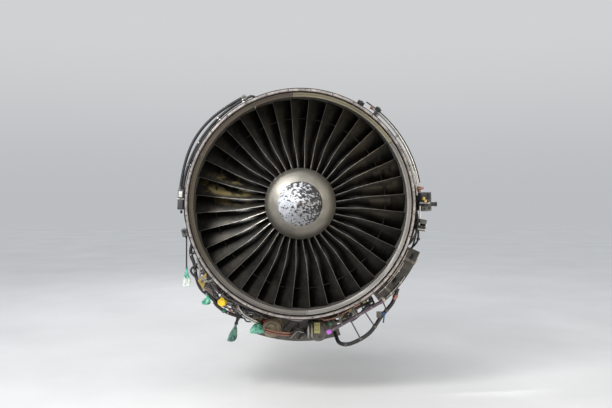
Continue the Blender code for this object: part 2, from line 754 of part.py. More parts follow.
def make_inlet_case(root):
    pocket = PANEL_RADIUS + PANEL_THICKNESS + SEAT_GAP
    bore = circumscribed(CASE_BORE, RING_STEPS)
    wall = CASE_SKIN
    containment = wall + CONTAINMENT_THICKNESS
    pocket_end = PANEL_END + SEAT_GAP
    outline = [
        (0.0, pocket), (pocket_end, pocket), (pocket_end, bore), (CASE_LENGTH, bore),
        (CASE_LENGTH, REAR_FLANGE_RADIUS), (CASE_LENGTH - FLANGE_THICKNESS, REAR_FLANGE_RADIUS),
        (CASE_LENGTH - FLANGE_THICKNESS, wall), (CONTAINMENT_END, wall),
        (CONTAINMENT_END - CONTAINMENT_THICKNESS, containment), (CONTAINMENT_START, containment),
        (FLANGE_THICKNESS, wall),
        (FLANGE_THICKNESS, FRONT_FLANGE_RADIUS), (0.0, FRONT_FLANGE_RADIUS)]
    case = finish(turned("fan_inlet_case", outline, RING_STEPS, clock=PANEL_JOINT_CLOCK), GREY_METAL, root)
    top = HARNESS_REACH - TUBE_FLAT_SHARE * HARNESS_RADIUS - CLAMP_SAG
    clamps = [(clock, top) for clock in HARNESS_CLAMP_CLOCKS]
    top = SUPPLY_TUBE_REACH - TUBE_FLAT_SHARE * SUPPLY_TUBE_RADIUS - CLAMP_SAG
    clamps += [(clock, top) for clock in SUPPLY_CLAMP_CLOCKS]
    for clock, top in clamps:
        combine(case, as_cutter(post(f"clamp_{clock:.0f}", clock, TUBE_STATION, top, wall), root), "UNION")


def vane(name, start, end, foot, top, thickness, turn, section=STRUT_SHARES):
    """A straight radial vane or strut with a sharp nose and tail."""
    length = end - start
    outline = [(side * thickness / 2, (place - 0.5) * length, foot) for place, side in section]
    swing = Matrix.Rotation(math.radians(turn), 4, "Z")
    shift = Matrix.Translation((0.0, along(start, end, 0.5), 0.0))
    return prism(name, [shift @ swing @ Vector(point) for point in outline], (0.0, 0.0, top - foot))


def make_guide_vanes(root):
    inner = BOOSTER_CASE_RADIUS + SEAT_GAP
    outline = [
        (GUIDE_VANE_START, circumscribed(inner, CORE_STEPS)),
        (GUIDE_VANE_END, circumscribed(inner, CORE_STEPS)),
        (GUIDE_VANE_END, circumscribed(inner + GUIDE_VANE_RING, CORE_STEPS)),
        (GUIDE_VANE_START, circumscribed(inner + GUIDE_VANE_RING, CORE_STEPS))]
    ring = finish(turned("outlet_guide_vanes", outline, CORE_STEPS), CAST_GREY, root)
    one = vane(
        "guide_vane", GUIDE_VANE_START, GUIDE_VANE_END, inner + GUIDE_VANE_RING / 2,
        CASE_BORE - 2 * SEAT_GAP, GUIDE_VANE_THICKNESS, -GUIDE_VANE_TURN, GUIDE_VANE_SHARES)
    vanes = as_cutter(repeated("guide_vane_set", one, GUIDE_VANE_COUNT), root)
    combine(ring, vanes, "UNION")


# Fan frame, booster and front bearings

def make_booster(root, lp_axis):
    bore = circumscribed(BOOSTER_CASE_BORE, CORE_STEPS)
    case = [
        (BOOSTER_START, BOOSTER_CASE_LIP_RADIUS), (GUIDE_VANE_START, bore), (BOOSTER_CASE_END, bore),
        (BOOSTER_CASE_END, BOOSTER_CASE_RADIUS), (GUIDE_VANE_START, BOOSTER_CASE_RADIUS)]
    finish(turned("booster_case", case, CORE_STEPS), CAST_GREY, root)
    radius = BOOSTER_DRUM_RADIUS + BOOSTER_DRUM_WALL / 2
    tip = BOOSTER_CASE_BORE - BOOSTER_TIP_GAP
    start = HUB_END + SEAT_GAP
    rotor = [(start, radius - BOOSTER_DRUM_WALL), (BOOSTER_DRUM_END, radius - BOOSTER_DRUM_WALL)]
    rotor += [(BOOSTER_DRUM_END, radius)]
    rotor += blade_rows(BOOSTER_START, BOOSTER_DRUM_END, BOOSTER_ROWS, lambda y: radius, lambda y: tip)
    rotor += [(start, radius)]
    finish(turned("booster_rotor", rotor, INNER_STEPS), BARE_METAL, lp_axis)


def blade_rows(start, end, count, drum, tip):
    """Outside of a drum with rows of blades, each row a disk, from the rear to the front."""
    pitch = (end - start) / count
    points = []
    for index in reversed(range(count)):
        rear = start + (index + ROW_SHARE) * pitch
        points += [(rear, drum(rear)), (rear, tip(rear))]
    return points + [(start, drum(start))]


def make_fan_frame(root):
    ring = [
        (FRAME_START, circumscribed(FRAME_RING_BORE, FRAME_STEPS)),
        (FRAME_END, circumscribed(FRAME_RING_BORE, FRAME_STEPS)),
        (FRAME_END, FRAME_RING_RADIUS), (FRAME_START + FLANGE_THICKNESS, FRAME_RING_RADIUS),
        (FRAME_START + FLANGE_THICKNESS, REAR_FLANGE_RADIUS), (FRAME_START, REAR_FLANGE_RADIUS)]
    splitter = [
        (SPLITTER_START, SPLITTER_FRONT_BORE), (FRAME_END, SPLITTER_REAR_BORE),
        (FRAME_END, SPLITTER_REAR_RADIUS), (SPLITTER_START, BOOSTER_CASE_RADIUS)]
    seat = THIRD_BEARING_RADIUS + SEAT_GAP
    hub = [
        (FRAME_HUB_START, seat), (FRAME_END, seat), (FRAME_END, FRAME_HUB_REAR_RADIUS),
        (FRAME_HUB_START, FRAME_HUB_FRONT_RADIUS)]
    frame = finish(turned("fan_frame", ring, FRAME_STEPS), CAST_GREY, root)
    strut_foot = along(FRAME_HUB_FRONT_BORE, FRAME_HUB_REAR_RADIUS, 0.4)
    strut_top = along(FRAME_RING_BORE, FRAME_RING_RADIUS, 0.3)
    strut = vane("strut", STRUT_START, STRUT_END, strut_foot, strut_top, STRUT_THICKNESS, 0.0)
    combine(frame, as_cutter(repeated("frame_struts", strut, FRAME_STRUTS, 180.0), root), "UNION")
    for name, outline, steps in (("frame_splitter", splitter, CORE_STEPS), ("frame_hub", hub, INNER_STEPS)):
        core = turned(name, outline, steps)
        combine(frame, as_cutter(core, root), "UNION")
    bore = upright("drive_bore", DRIVE_BORE, -FRAME_RING_RADIUS - CUT_OVERRUN, -THIRD_BEARING_RADIUS)
    combine(frame, as_cutter(bore, root), "DIFFERENCE")


def upright(name, radius, low, high, centre=(0.0, DRIVE_STATION), steps=SHAFT_STEPS, top_radius=None):
    """A cylinder or cone along Z between two heights."""
    shape = bmesh.new()
    bmesh.ops.create_cone(
        shape, cap_ends=True, segments=steps, radius1=radius,
        radius2=radius if top_radius is None else top_radius, depth=high - low)
    piece = from_bmesh(name, shape)
    piece.location = (*centre, along(low, high, 0.5))
    return piece


def bearing(name, start, shaft, seat, parent, width=BEARING_WIDTH):
    """A main bearing as a plain ring whose corners point at the flats of its shaft and seat.

    The shaft is given by its corners and the seat by its flats, so that either may turn.
    """
    bore = circumscribed(shaft + SEAT_GAP, INNER_STEPS)
    outer = seat - SEAT_GAP
    outline = [(start, bore), (start + width, bore), (start + width, outer), (start, outer)]
    finish(turned(name, outline, INNER_STEPS, clock=CORNER_UP), STEEL, parent)


def make_front_support(root):
    """Cone that carries the two front bearings from the fan frame's hub."""
    bore = FRONT_BEARING_RADIUS + SEAT_GAP
    end = FRAME_HUB_START - SEAT_GAP
    sleeve_end = SECOND_BEARING_START + BEARING_WIDTH
    outline = [
        (FRONT_BEARING_START, bore), (sleeve_end, bore), (end, FRAME_HUB_FRONT_BORE + SUPPORT_WALL),
        (end, FRAME_HUB_FRONT_BORE + 3 * SUPPORT_WALL), (sleeve_end, bore + SUPPORT_WALL),
        (FRONT_BEARING_START, bore + SUPPORT_WALL)]
    finish(turned("front_bearing_support", outline, INNER_STEPS), CAST_GREY, root)


def make_bearings(root, lp_axis):
    flat = math.cos(math.pi / INNER_STEPS)
    front_seat = (FRONT_BEARING_RADIUS + SEAT_GAP) * flat
    third_seat = (THIRD_BEARING_RADIUS + SEAT_GAP) * flat
    fifth_seat = FIFTH_BEARING_RADIUS + SEAT_GAP
    bearing("front_ball_bearing", FRONT_BEARING_START, FAN_STUB_RADIUS, front_seat, root)
    bearing("front_roller_bearing", SECOND_BEARING_START, FAN_STUB_RADIUS, front_seat, root)
    bearing("core_ball_bearing", THIRD_BEARING_START, HIGH_STUB_RADIUS, third_seat, root)
    bearing("intershaft_bearing", FOURTH_BEARING_START, LP_SHAFT_RADIUS, HIGH_SHAFT_BORE, lp_axis)
    bearing("rear_roller_bearing", FIFTH_BEARING_START, LP_SHAFT_RADIUS, fifth_seat, root)


# Core

COMPRESSOR_BORE_LINE = ((FRAME_END, COMPRESSOR_FRONT_BORE), (COMPRESSOR_END, COMPRESSOR_REAR_BORE))


def compressor_outside(station):
    """Outer radius of the compressor case between its flanges."""
    return circumscribed(between(station, COMPRESSOR_BORE_LINE), CORE_STEPS) + COMPRESSOR_WALL


def make_compressor_case(root):
    start = FRAME_END + SEAT_GAP
    rear = COMPRESSOR_END - CORE_FLANGE
    front = start + CORE_FLANGE
    outline = [
        (start, circumscribed(COMPRESSOR_FRONT_BORE, CORE_STEPS)),
        (COMPRESSOR_END, circumscribed(COMPRESSOR_REAR_BORE, CORE_STEPS)),
        (COMPRESSOR_END, COMPRESSOR_REAR_FLANGE), (rear, COMPRESSOR_REAR_FLANGE),
        (rear, compressor_outside(rear)), (front, compressor_outside(front)),
        (front, COMPRESSOR_FRONT_FLANGE), (start, COMPRESSOR_FRONT_FLANGE)]
    finish(turned("compressor_case", outline, CORE_STEPS), BARE_METAL, root)


def make_core_rotors(high_axis):
    bore = circumscribed(HIGH_SHAFT_BORE, INNER_STEPS)
    drum_line = ((HIGH_DRUM_START, HIGH_DRUM_FRONT_RADIUS), (HIGH_DRUM_END, HIGH_DRUM_REAR_RADIUS))
    stub_start = THIRD_BEARING_START - BEARING_WIDTH / 4
    compressor = [(stub_start, bore), (HIGH_DRUM_END, bore), (HIGH_DRUM_END, HIGH_DRUM_REAR_RADIUS)]
    compressor += blade_rows(
        HIGH_DRUM_START, HIGH_DRUM_END, COMPRESSOR_ROWS, lambda y: between(y, drum_line),
        lambda y: between(y, COMPRESSOR_BORE_LINE) - HIGH_TIP_GAP)
    neck = HIGH_DRUM_START - HIGH_NECK
    compressor += [(neck, HIGH_STUB_RADIUS), (stub_start, HIGH_STUB_RADIUS)]
    finish(turned("compressor_rotor", compressor, INNER_STEPS), BARE_METAL, high_axis)
    tip = HIGH_TURBINE_BORE - HIGH_TIP_GAP
    turbine = [
        (HIGH_DRUM_END + SEAT_GAP, bore), (HIGH_SHAFT_END, bore), (HIGH_SHAFT_END, HIGH_SHAFT_RADIUS),
        (HIGH_DISK_END, HIGH_SHAFT_RADIUS),
        (HIGH_DISK_END, tip), (HIGH_DISK_START, tip), (HIGH_DISK_START, HIGH_SHAFT_RADIUS),
        (HIGH_DRUM_END + SEAT_GAP, HIGH_SHAFT_RADIUS)]
    finish(turned("core_turbine_rotor", turbine, INNER_STEPS), HOT_METAL, high_axis)


def make_combustor(root):
    start = COMPRESSOR_END + SEAT_GAP
    outside = COMBUSTOR_BORE + COMBUSTOR_WALL
    rear = COMBUSTOR_END - CORE_FLANGE
    outline = [
        (start, circumscribed(COMPRESSOR_REAR_BORE, CORE_STEPS)),
        (start + COMBUSTOR_SWELL, circumscribed(COMBUSTOR_BORE, CORE_STEPS)),
        (COMBUSTOR_END, circumscribed(COMBUSTOR_BORE, CORE_STEPS)),
        (COMBUSTOR_END, COMBUSTOR_REAR_FLANGE), (rear, COMBUSTOR_REAR_FLANGE), (rear, outside),
        (start + COMBUSTOR_SWELL, outside), (start, COMPRESSOR_REAR_FLANGE)]
    finish(turned("combustor_case", outline, CORE_STEPS), HOT_METAL, root)
    liner_end = COMBUSTOR_END
    outer_wall = LINER_OUTER - LINER_WALL
    inner_wall = LINER_INNER + LINER_WALL
    liner = [
        (LINER_START, LINER_INNER), (liner_end, LINER_INNER), (liner_end, inner_wall),
        (LINER_START + LINER_WALL, inner_wall), (LINER_START + LINER_WALL, outer_wall),
        (liner_end, outer_wall), (liner_end, LINER_OUTER), (LINER_START, LINER_OUTER)]
    finish(turned("combustor_liner", liner, INNER_STEPS), HOT_METAL, root)
    reach = outside + MANIFOLD_RADIUS + SEAT_GAP
    manifold = [
        (MANIFOLD_STATION - MANIFOLD_RADIUS, reach), (MANIFOLD_STATION, reach - MANIFOLD_RADIUS),
        (MANIFOLD_STATION + MANIFOLD_RADIUS, reach), (MANIFOLD_STATION, reach + MANIFOLD_RADIUS)]
    finish(turned("fuel_manifold", manifold, CORE_STEPS), STEEL, root)


TURBINE_BORE_LINE = ((HIGH_TURBINE_END, HIGH_TURBINE_BORE), (TURBINE_END, TURBINE_REAR_BORE))


def make_turbine(root, lp_axis):
    start = COMBUSTOR_END + SEAT_GAP
    bores = [circumscribed(radius, CORE_STEPS) for radius in (HIGH_TURBINE_BORE, TURBINE_REAR_BORE)]
    rear = TURBINE_END - CORE_FLANGE
    outline = [
        (start, bores[0]), (HIGH_TURBINE_END, bores[0]), (TURBINE_END, bores[1]),
        (TURBINE_END, TURBINE_REAR_FLANGE), (rear, TURBINE_REAR_FLANGE), (rear, bores[1] + TURBINE_WALL),
        (start + CORE_FLANGE, bores[0] + 2 * TURBINE_WALL), (start + CORE_FLANGE, COMBUSTOR_REAR_FLANGE),
        (start, COMBUSTOR_REAR_FLANGE)]
    finish(turned("turbine_case", outline, CORE_STEPS), HOT_METAL, root)
    inside = LP_TURBINE_DRUM - LP_TURBINE_WALL
    web_start = LP_TURBINE_WEB - LP_TURBINE_WEB_THICKNESS / 2
    web_end = LP_TURBINE_WEB + LP_TURBINE_WEB_THICKNESS / 2
    bore = LP_SHAFT_RADIUS + SEAT_GAP
    drum_start = LP_TURBINE_START - SUPPORT_WALL
    pitch = (LP_TURBINE_LAST - LP_TURBINE_START) / (LP_TURBINE_ROWS - 1 + ROW_SHARE)
    rotor = [
        (drum_start, inside), (web_start, inside), (web_start, bore), (web_end, bore), (web_end, inside),
        (TURBINE_END - CORE_FLANGE, inside), (TURBINE_END - CORE_FLANGE, LP_TURBINE_DRUM)]
    rotor += blade_rows(
        LP_TURBINE_START, LP_TURBINE_START + LP_TURBINE_ROWS * pitch, LP_TURBINE_ROWS,
        lambda y: LP_TURBINE_DRUM,
        lambda y: between(y, TURBINE_BORE_LINE) - HIGH_TIP_GAP)
    rotor += [(drum_start, LP_TURBINE_DRUM)]
    finish(turned("lp_turbine_rotor", rotor, INNER_STEPS), HOT_METAL, lp_axis)


def make_lp_shaft(lp_axis):
    flange_start = DISK_MIDDLE + DISK_THICKNESS / 2 + SEAT_GAP
    flange_end = flange_start + FAN_SHAFT_FLANGE
    taper_end = FAN_STUB_END + FAN_STUB_RADIUS - LP_SHAFT_RADIUS
    outline = [
        (LP_SHAFT_END, 0.0), (LP_SHAFT_END, LP_SHAFT_RADIUS), (taper_end, LP_SHAFT_RADIUS),
        (FAN_STUB_END, FAN_STUB_RADIUS), (flange_end, FAN_STUB_RADIUS),
        (flange_end, FAN_SHAFT_FLANGE_RADIUS), (flange_start, FAN_SHAFT_FLANGE_RADIUS), (flange_start, 0.0)]
    finish(turned("lp_shaft", outline, INNER_STEPS, closed=False), STEEL, lp_axis)


def make_rear_frame(root):
    start = TURBINE_END + SEAT_GAP
    bore = circumscribed(TURBINE_REAR_BORE, CORE_STEPS)
    ring = [
        (start, bore), (REAR_FRAME_END, bore), (REAR_FRAME_END, bore + TURBINE_WALL),
        (start + CORE_FLANGE, bore + TURBINE_WALL), (start + CORE_FLANGE, TURBINE_REAR_FLANGE),
        (start, TURBINE_REAR_FLANGE)]
    inside = REAR_HUB_RADIUS - REAR_HUB_WALL
    seat = circumscribed(FIFTH_BEARING_RADIUS + SEAT_GAP, CORE_STEPS)
    seat_start = FIFTH_BEARING_START - SEAT_GAP
    seat_end = FIFTH_BEARING_START + BEARING_WIDTH + SEAT_GAP
    hub = [
        (REAR_HUB_START, inside), (seat_start, seat), (seat_end, seat),
        (REAR_FRAME_END, REAR_HUB_RADIUS), (REAR_HUB_START, REAR_HUB_RADIUS)]
    frame = finish(turned("turbine_rear_frame", ring, CORE_STEPS), HOT_METAL, root)
    strut = vane(
        "rear_strut", REAR_STRUT_START, REAR_STRUT_END, along(inside, REAR_HUB_RADIUS, 0.5),
        bore + TURBINE_WALL / 2, REAR_STRUT_THICKNESS, 0.0)
    combine(frame, as_cutter(repeated("rear_struts", strut, REAR_FRAME_STRUTS), root), "UNION")
    combine(frame, as_cutter(turned("rear_hub", hub, CORE_STEPS), root), "UNION")
    plug_start = REAR_FRAME_END + SEAT_GAP
    plug = [
        (PLUG_END, 0.0), (PLUG_END, PLUG_TIP_RADIUS), (plug_start, REAR_HUB_RADIUS),
        (plug_start, REAR_HUB_RADIUS - PLUG_WALL), (PLUG_END - PLUG_WALL, PLUG_TIP_RADIUS - PLUG_WALL),
        (PLUG_END - PLUG_WALL, 0.0)]
    finish(turned("exhaust_plug", plug, CORE_STEPS, closed=False), HOT_METAL, root)


# Mounts

def arch(flat, half_width):
    """Points just above a faceted casing of the core, from right to left."""
    facet = 360.0 / CORE_STEPS
    half = math.degrees(math.atan(half_width / flat))
    points = []
    for clock in (half, facet / 2, -facet / 2, -half):
        off = math.radians(min(abs(clock), facet - abs(clock)))
        points.append(at_clock(clock, flat / math.cos(off), 0.0))
    return points


def saddle(name, station, length, height, width, shoulder, flat):
    """A mount with a flat top whose foot follows the facets of a casing."""
    half = width / 2
    outline = [Vector((-half, 0.0, height)), Vector((-half, 0.0, height - shoulder))]
    outline += reversed(arch(flat, MOUNT_FOOT_WIDTH / 2))
    outline += [Vector((half, 0.0, height - shoulder)), Vector((half, 0.0, height))]
    travel = Vector((0.0, length, 0.0))
    start = Vector((0.0, station, 0.0))
    return prism(name, [point + start for point in outline], travel)


def make_mounts(root):
    station = FRAME_END + SEAT_GAP + CORE_FLANGE + SEAT_GAP
    flat = compressor_outside(FRAME_END) * math.cos(math.pi / CORE_STEPS) + SEAT_GAP
    forward = saddle(
        "forward_mount", station, MOUNT_LENGTH, MOUNT_HEIGHT, MOUNT_WIDTH, MOUNT_FOOT_HEIGHT, flat)
    finish(forward, STEEL, root)
    outside = circumscribed(TURBINE_REAR_BORE, CORE_STEPS) + TURBINE_WALL
    flat = outside * math.cos(math.pi / CORE_STEPS) + SEAT_GAP
    aft = saddle(
        "aft_mount", AFT_MOUNT_START, AFT_MOUNT_LENGTH, AFT_MOUNT_HEIGHT, AFT_MOUNT_WIDTH,
        MOUNT_FOOT_HEIGHT / 2, flat)
    finish(aft, STEEL, root)


# Gearboxes, drive shafts and accessories

def make_gearbox(root):
    middle = along(GEARBOX_START, GEARBOX_END, 0.5)
    half = GEARBOX_FLANGE_LENGTH / 2
    rim = GEARBOX_OUTER + GEARBOX_FLANGE
    outline = [
        (GEARBOX_START, GEARBOX_INNER), (GEARBOX_END, GEARBOX_INNER), (GEARBOX_END, GEARBOX_OUTER),
        (middle + half, GEARBOX_OUTER), (middle + half, rim), (middle - half, rim),
        (middle - half, GEARBOX_OUTER), (GEARBOX_START, GEARBOX_OUTER)]
    box = sector("accessory_gearbox", outline, GEARBOX_FROM_CLOCK, GEARBOX_TO_CLOCK, GEARBOX_STEPS)
    finish(box, CAST_GREY, root)
    span = (GEARBOX_TO_CLOCK - GEARBOX_FROM_CLOCK) / GEARBOX_STEPS
    for step in GEARBOX_FEET:
        clock = GEARBOX_FROM_CLOCK + (step + 0.5) * span
        add_foot(box, clock, GEARBOX_START + FOOT_WIDTH, along(GEARBOX_INNER, GEARBOX_OUTER, 0.2), root)
    top = FRAME_RING_RADIUS * math.cos(math.pi / FRAME_STEPS) + SEAT_GAP
    size = (TRANSFER_WIDTH, TRANSFER_END - TRANSFER_START, TRANSFER_BOTTOM - top)
    transfer = block("transfer_gearbox", 180.0, top, TRANSFER_START, size, TANK_BEVEL)
    finish(transfer, CAST_GREY, root)


def make_drive_shafts(radial_axis, lay_axis):
    low = -FRAME_RING_RADIUS * math.cos(math.pi / FRAME_STEPS)
    high = -THIRD_BEARING_RADIUS - 4 * SUPPORT_WALL
    radial = upright("radial_drive_shaft", DRIVE_SHAFT_RADIUS, low, high, centre=(0.0, 0.0))
    finish(radial, STEEL, radial_axis)
    start = GEARBOX_END + SEAT_GAP
    end = TRANSFER_START - SEAT_GAP
    outline = [(end, 0.0), (end, LAYSHAFT_RADIUS), (start, LAYSHAFT_RADIUS), (start, 0.0)]
    lay = turned("horizontal_drive_shaft", outline, SHAFT_STEPS, closed=False)
    finish(lay, STEEL, lay_axis)


def drum_outline(seat, length, radius, forward):
    """Outline of an accessory that stands on a face of the gearbox, flange first."""
    way = -1.0 if forward else 1.0
    flange = radius + ACCESSORY_FLANGE
    near = seat + way * SEAT_GAP
    outline = [
        (near, 0.0), (near, flange), (near + way * ACCESSORY_FLANGE, flange),
        (near + way * ACCESSORY_FLANGE, radius), (near + way * length * 0.8, radius),
        (near + way * length, radius * 0.6), (near + way * length, 0.0)]
    return outline if forward else outline[::-1]


def make_accessories(root):
    for name, clock, radius, length, forward, surface in (
            ("air_starter", STARTER_CLOCK, STARTER_RADIUS, STARTER_LENGTH, True, CAST_GREY),
            ("generator", GENERATOR_CLOCK, GENERATOR_RADIUS, GENERATOR_LENGTH, True, BARE_METAL),
            ("fuel_pump", FUEL_PUMP_CLOCK, FUEL_PUMP_RADIUS, FUEL_PUMP_LENGTH, False, CAST_GREY),
    ):
        seat = GEARBOX_START if forward else GEARBOX_END
        piece = canister(name, drum_outline(seat, length, radius, forward), clock, ACCESSORY_REACH)
        finish(piece, surface, root)


def chamfered(start, end, inner, outer, chamfer):
    """Outline of a box section with its outer corners cut off."""
    return [
        (start, inner), (end, inner), (end, outer - chamfer), (end - chamfer, outer),
        (start + chamfer, outer), (start, outer - chamfer)]


def make_oil_tank(root, cap_axis):
    outline = chamfered(TANK_START, TANK_END, TANK_INNER, TANK_OUTER, TANK_BEVEL)
    tank = sector("oil_tank", outline, TANK_FROM_CLOCK, TANK_TO_CLOCK, TANK_STEPS)
    finish(tank, DARK_GREY_PAINT, root)
    span = (TANK_TO_CLOCK - TANK_FROM_CLOCK) / TANK_STEPS
    for step in TANK_FEET:
        clock = TANK_FROM_CLOCK + (step + 0.5) * span
        station = along(CONTAINMENT_START, CONTAINMENT_END, 0.5)
        add_foot(tank, clock, station, along(TANK_INNER, TANK_OUTER, 0.2), root)
    shape = bmesh.new()
    bmesh.ops.create_cone(
        shape, cap_ends=True, segments=SHAFT_STEPS, radius1=CAP_RADIUS, radius2=CAP_RADIUS * 0.85,
        depth=CAP_HEIGHT)
    cap = from_bmesh("oil_filler_cap", shape)
    finish(cap, BARE_METAL, cap_axis)


def make_boxes(root):
    """Electrical boxes on stand-off feet, the valve and the open port."""
    for name, clock, inner, size, surface in (
            ("engine_control_unit", CONTROL_CLOCK, CONTROL_INNER,
             (CONTROL_WIDTH, CONTROL_LENGTH, CONTROL_HEIGHT), BLACK_PLASTIC),
            ("ignition_box", SMALL_BOX_CLOCK, SMALL_BOX_INNER,
             (SMALL_BOX_WIDTH, SMALL_BOX_LENGTH, SMALL_BOX_HEIGHT), CAST_GREY),
            ("sensor_box", LEFT_BOX_CLOCK, LEFT_BOX_INNER,
             (LEFT_BOX_WIDTH, LEFT_BOX_LENGTH, LEFT_BOX_HEIGHT), CAST_GREY),
            ("connector_bracket", LEAD_BLOCK_CLOCK, LEFT_BOX_INNER,
             (LEAD_BLOCK_WIDTH, LEAD_BLOCK_LENGTH, LEAD_BLOCK_HEIGHT), CAST_GREY)):
        box = finish(block(name, clock, inner, CONTROL_START, size), surface, root)
        station = max(CONTROL_START + size[1] / 2, CONTAINMENT_START + FOOT_WIDTH / 2)
        station = min(station, CONTROL_START + size[1] - FOOT_WIDTH / 2)
        add_foot(box, clock, station, inner + size[2] / 2, root)
    end = VALVE_START + VALVE_LENGTH
    outline = [(end, 0.0), (end, VALVE_RADIUS), (VALVE_START, VALVE_RADIUS), (VALVE_START, 0.0)]
    valve = finish(canister("air_valve", outline, VALVE_CLOCK, VALVE_REACH), CAST_GREY, root)
    add_foot(valve, VALVE_CLOCK, along(VALVE_START, end, 0.75), VALVE_REACH, root)
    end = PORT_START + PORT_LENGTH
    outline = [(end, 0.0), (end, PORT_RADIUS), (PORT_START, PORT_RADIUS), (PORT_START, 0.0)]
    port = finish(canister("air_port", outline, PORT_CLOCK, PORT_REACH), CAST_GREY, root)
    add_foot(port, PORT_CLOCK, along(PORT_START, end, 0.75), PORT_REACH, root)
    rear = PORT_START - SEAT_GAP
    outline = [
        (rear, 0.0), (rear, PORT_CAP_RADIUS), (rear - PORT_CAP_LENGTH, 0.8 * PORT_CAP_RADIUS),
        (rear - PORT_CAP_LENGTH, 0.0)]
    finish(canister("air_port_cap", outline, PORT_CLOCK, PORT_REACH), YELLOW_PLASTIC, root)


# Tubes, hoses and leads

def arc_route(from_clock, to_clock, reach, station, spans, bulge=0.0):
    """Points round the shaft line, pushed out in the middle by a bulge."""
    points = []
    for index in range(spans + 1):
        share = index / spans
        out = bulge * math.sin(math.pi * share) ** 2
        points.append(at_clock(along(from_clock, to_clock, share), reach + out, station))
    return points


def route(shares):
    """Points of a route given as clock angles and shares."""
    return [
        at_clock(clock, reach * FAN_TIP_RADIUS, station * CASE_LENGTH) for clock, reach, station in shares]


def make_tubes(root):
    inner = arc_route(HARNESS_FROM_CLOCK, HARNESS_TO_CLOCK, HARNESS_REACH, TUBE_STATION, TUBE_SPANS)
    finish(tube("harness_inner", inner, HARNESS_RADIUS), BLACK_PLASTIC, root)
    reach = HARNESS_REACH + 2 * TUBE_FLAT_SHARE * HARNESS_RADIUS + SEAT_GAP
    outer = arc_route(HARNESS_FROM_CLOCK, HARNESS_TO_CLOCK, reach, TUBE_STATION, TUBE_SPANS, HARNESS_BULGE)
    finish(tube("harness_outer", outer, HARNESS_RADIUS), BLACK_PLASTIC, root)
    supply = arc_route(SUPPLY_FROM_CLOCK, SUPPLY_TO_CLOCK, SUPPLY_TUBE_REACH, TUBE_STATION, TUBE_SPANS)
    supply.append(at_clock(SUPPLY_END_CLOCK, SUPPLY_TUBE_REACH, TUBE_STATION))
    finish(tube("supply_tube", supply, SUPPLY_TUBE_RADIUS), BARE_METAL, root)
    ends = route(HOSE_ROUTE_SHARES)
    hose = [ends[0], *smooth_route(ends[1:-1], HOSE_SPANS), ends[-1]]
    finish(tube("lower_left_hose", hose, HOSE_RADIUS), BLACK_PLASTIC, root)
    first = at_clock(GEARBOX_FROM_CLOCK + 2.0, GEARBOX_OUTER - 2 * DUCT_RADIUS, GEARBOX_START - SEAT_GAP)
    second = first - Vector((0.0, 3 * DUCT_RADIUS, 0.0))
    last = at_clock(TANK_TO_CLOCK - 10.0, TANK_OUTER + DUCT_RADIUS + SEAT_GAP, DUCT_STATION)
    duct = [first, *smooth_route([second, *route(DUCT_ROUTE_SHARES), last], DUCT_SPANS)]
    finish(tube("air_duct", duct, DUCT_RADIUS), BLACK_PLASTIC, root)
    reach = along(TANK_INNER, TANK_OUTER, 0.85)
    station = TANK_START - DRAIN_TUBE_RADIUS - SEAT_GAP
    drain = [
        at_clock(DRAIN_TUBE_CLOCKS[0], reach + DRAIN_TUBE_DROP, station),
        at_clock(DRAIN_TUBE_CLOCKS[1], reach, station)]
    finish(tube("drain_tube", drain, DRAIN_TUBE_RADIUS), BARE_METAL, root)


def make_lead(root):
    """The lead that hangs from the connector bracket, and the pouch on its end."""
    turn = math.degrees((LEAD_BLOCK_WIDTH / 2 + SEAT_GAP) / (LEFT_BOX_INNER + LEAD_BLOCK_HEIGHT / 2))
    out = at_clock(LEAD_BLOCK_CLOCK - turn, LEFT_BOX_INNER + LEAD_BLOCK_HEIGHT / 2, LEAD_STATION)
    away = at_clock(LEAD_BLOCK_CLOCK - 90.0, 1.0, 0.0)
    bend = out + away * 3 * LEAD_RADIUS
    points = [bend] + [bend - Vector((0.0, 0.0, LEAD_LENGTH * share)) for share in LEAD_SHARES]
    line = [out, *smooth_route(points, LEAD_SPANS)]
    finish(tube("left_lead", line, LEAD_RADIUS, level=2), BLACK_PLASTIC, root)
    top = points[-1].z - SEAT_GAP
    low = top - POUCH_LENGTH
    pouch = upright("lead_pouch", POUCH_RADIUS, low, top, (points[-1].x, LEAD_STATION), SHAFT_STEPS,
                    POUCH_NECK_RADIUS)
    finish(pouch, GREEN_FILM, root)


def rod_place():
    """Where the actuator's rod stands beside the ring."""
    front = UNISON_STATION - UNISON_WIDTH / 2
    inner = circumscribed(compressor_outside(front) + SEAT_GAP, CORE_STEPS)
    station = UNISON_STATION + UNISON_WIDTH / 2 + SEAT_GAP + ACTUATOR_RADIUS
    return inner + UNISON_HEIGHT / 2 + LUG_SIZE / 2, station


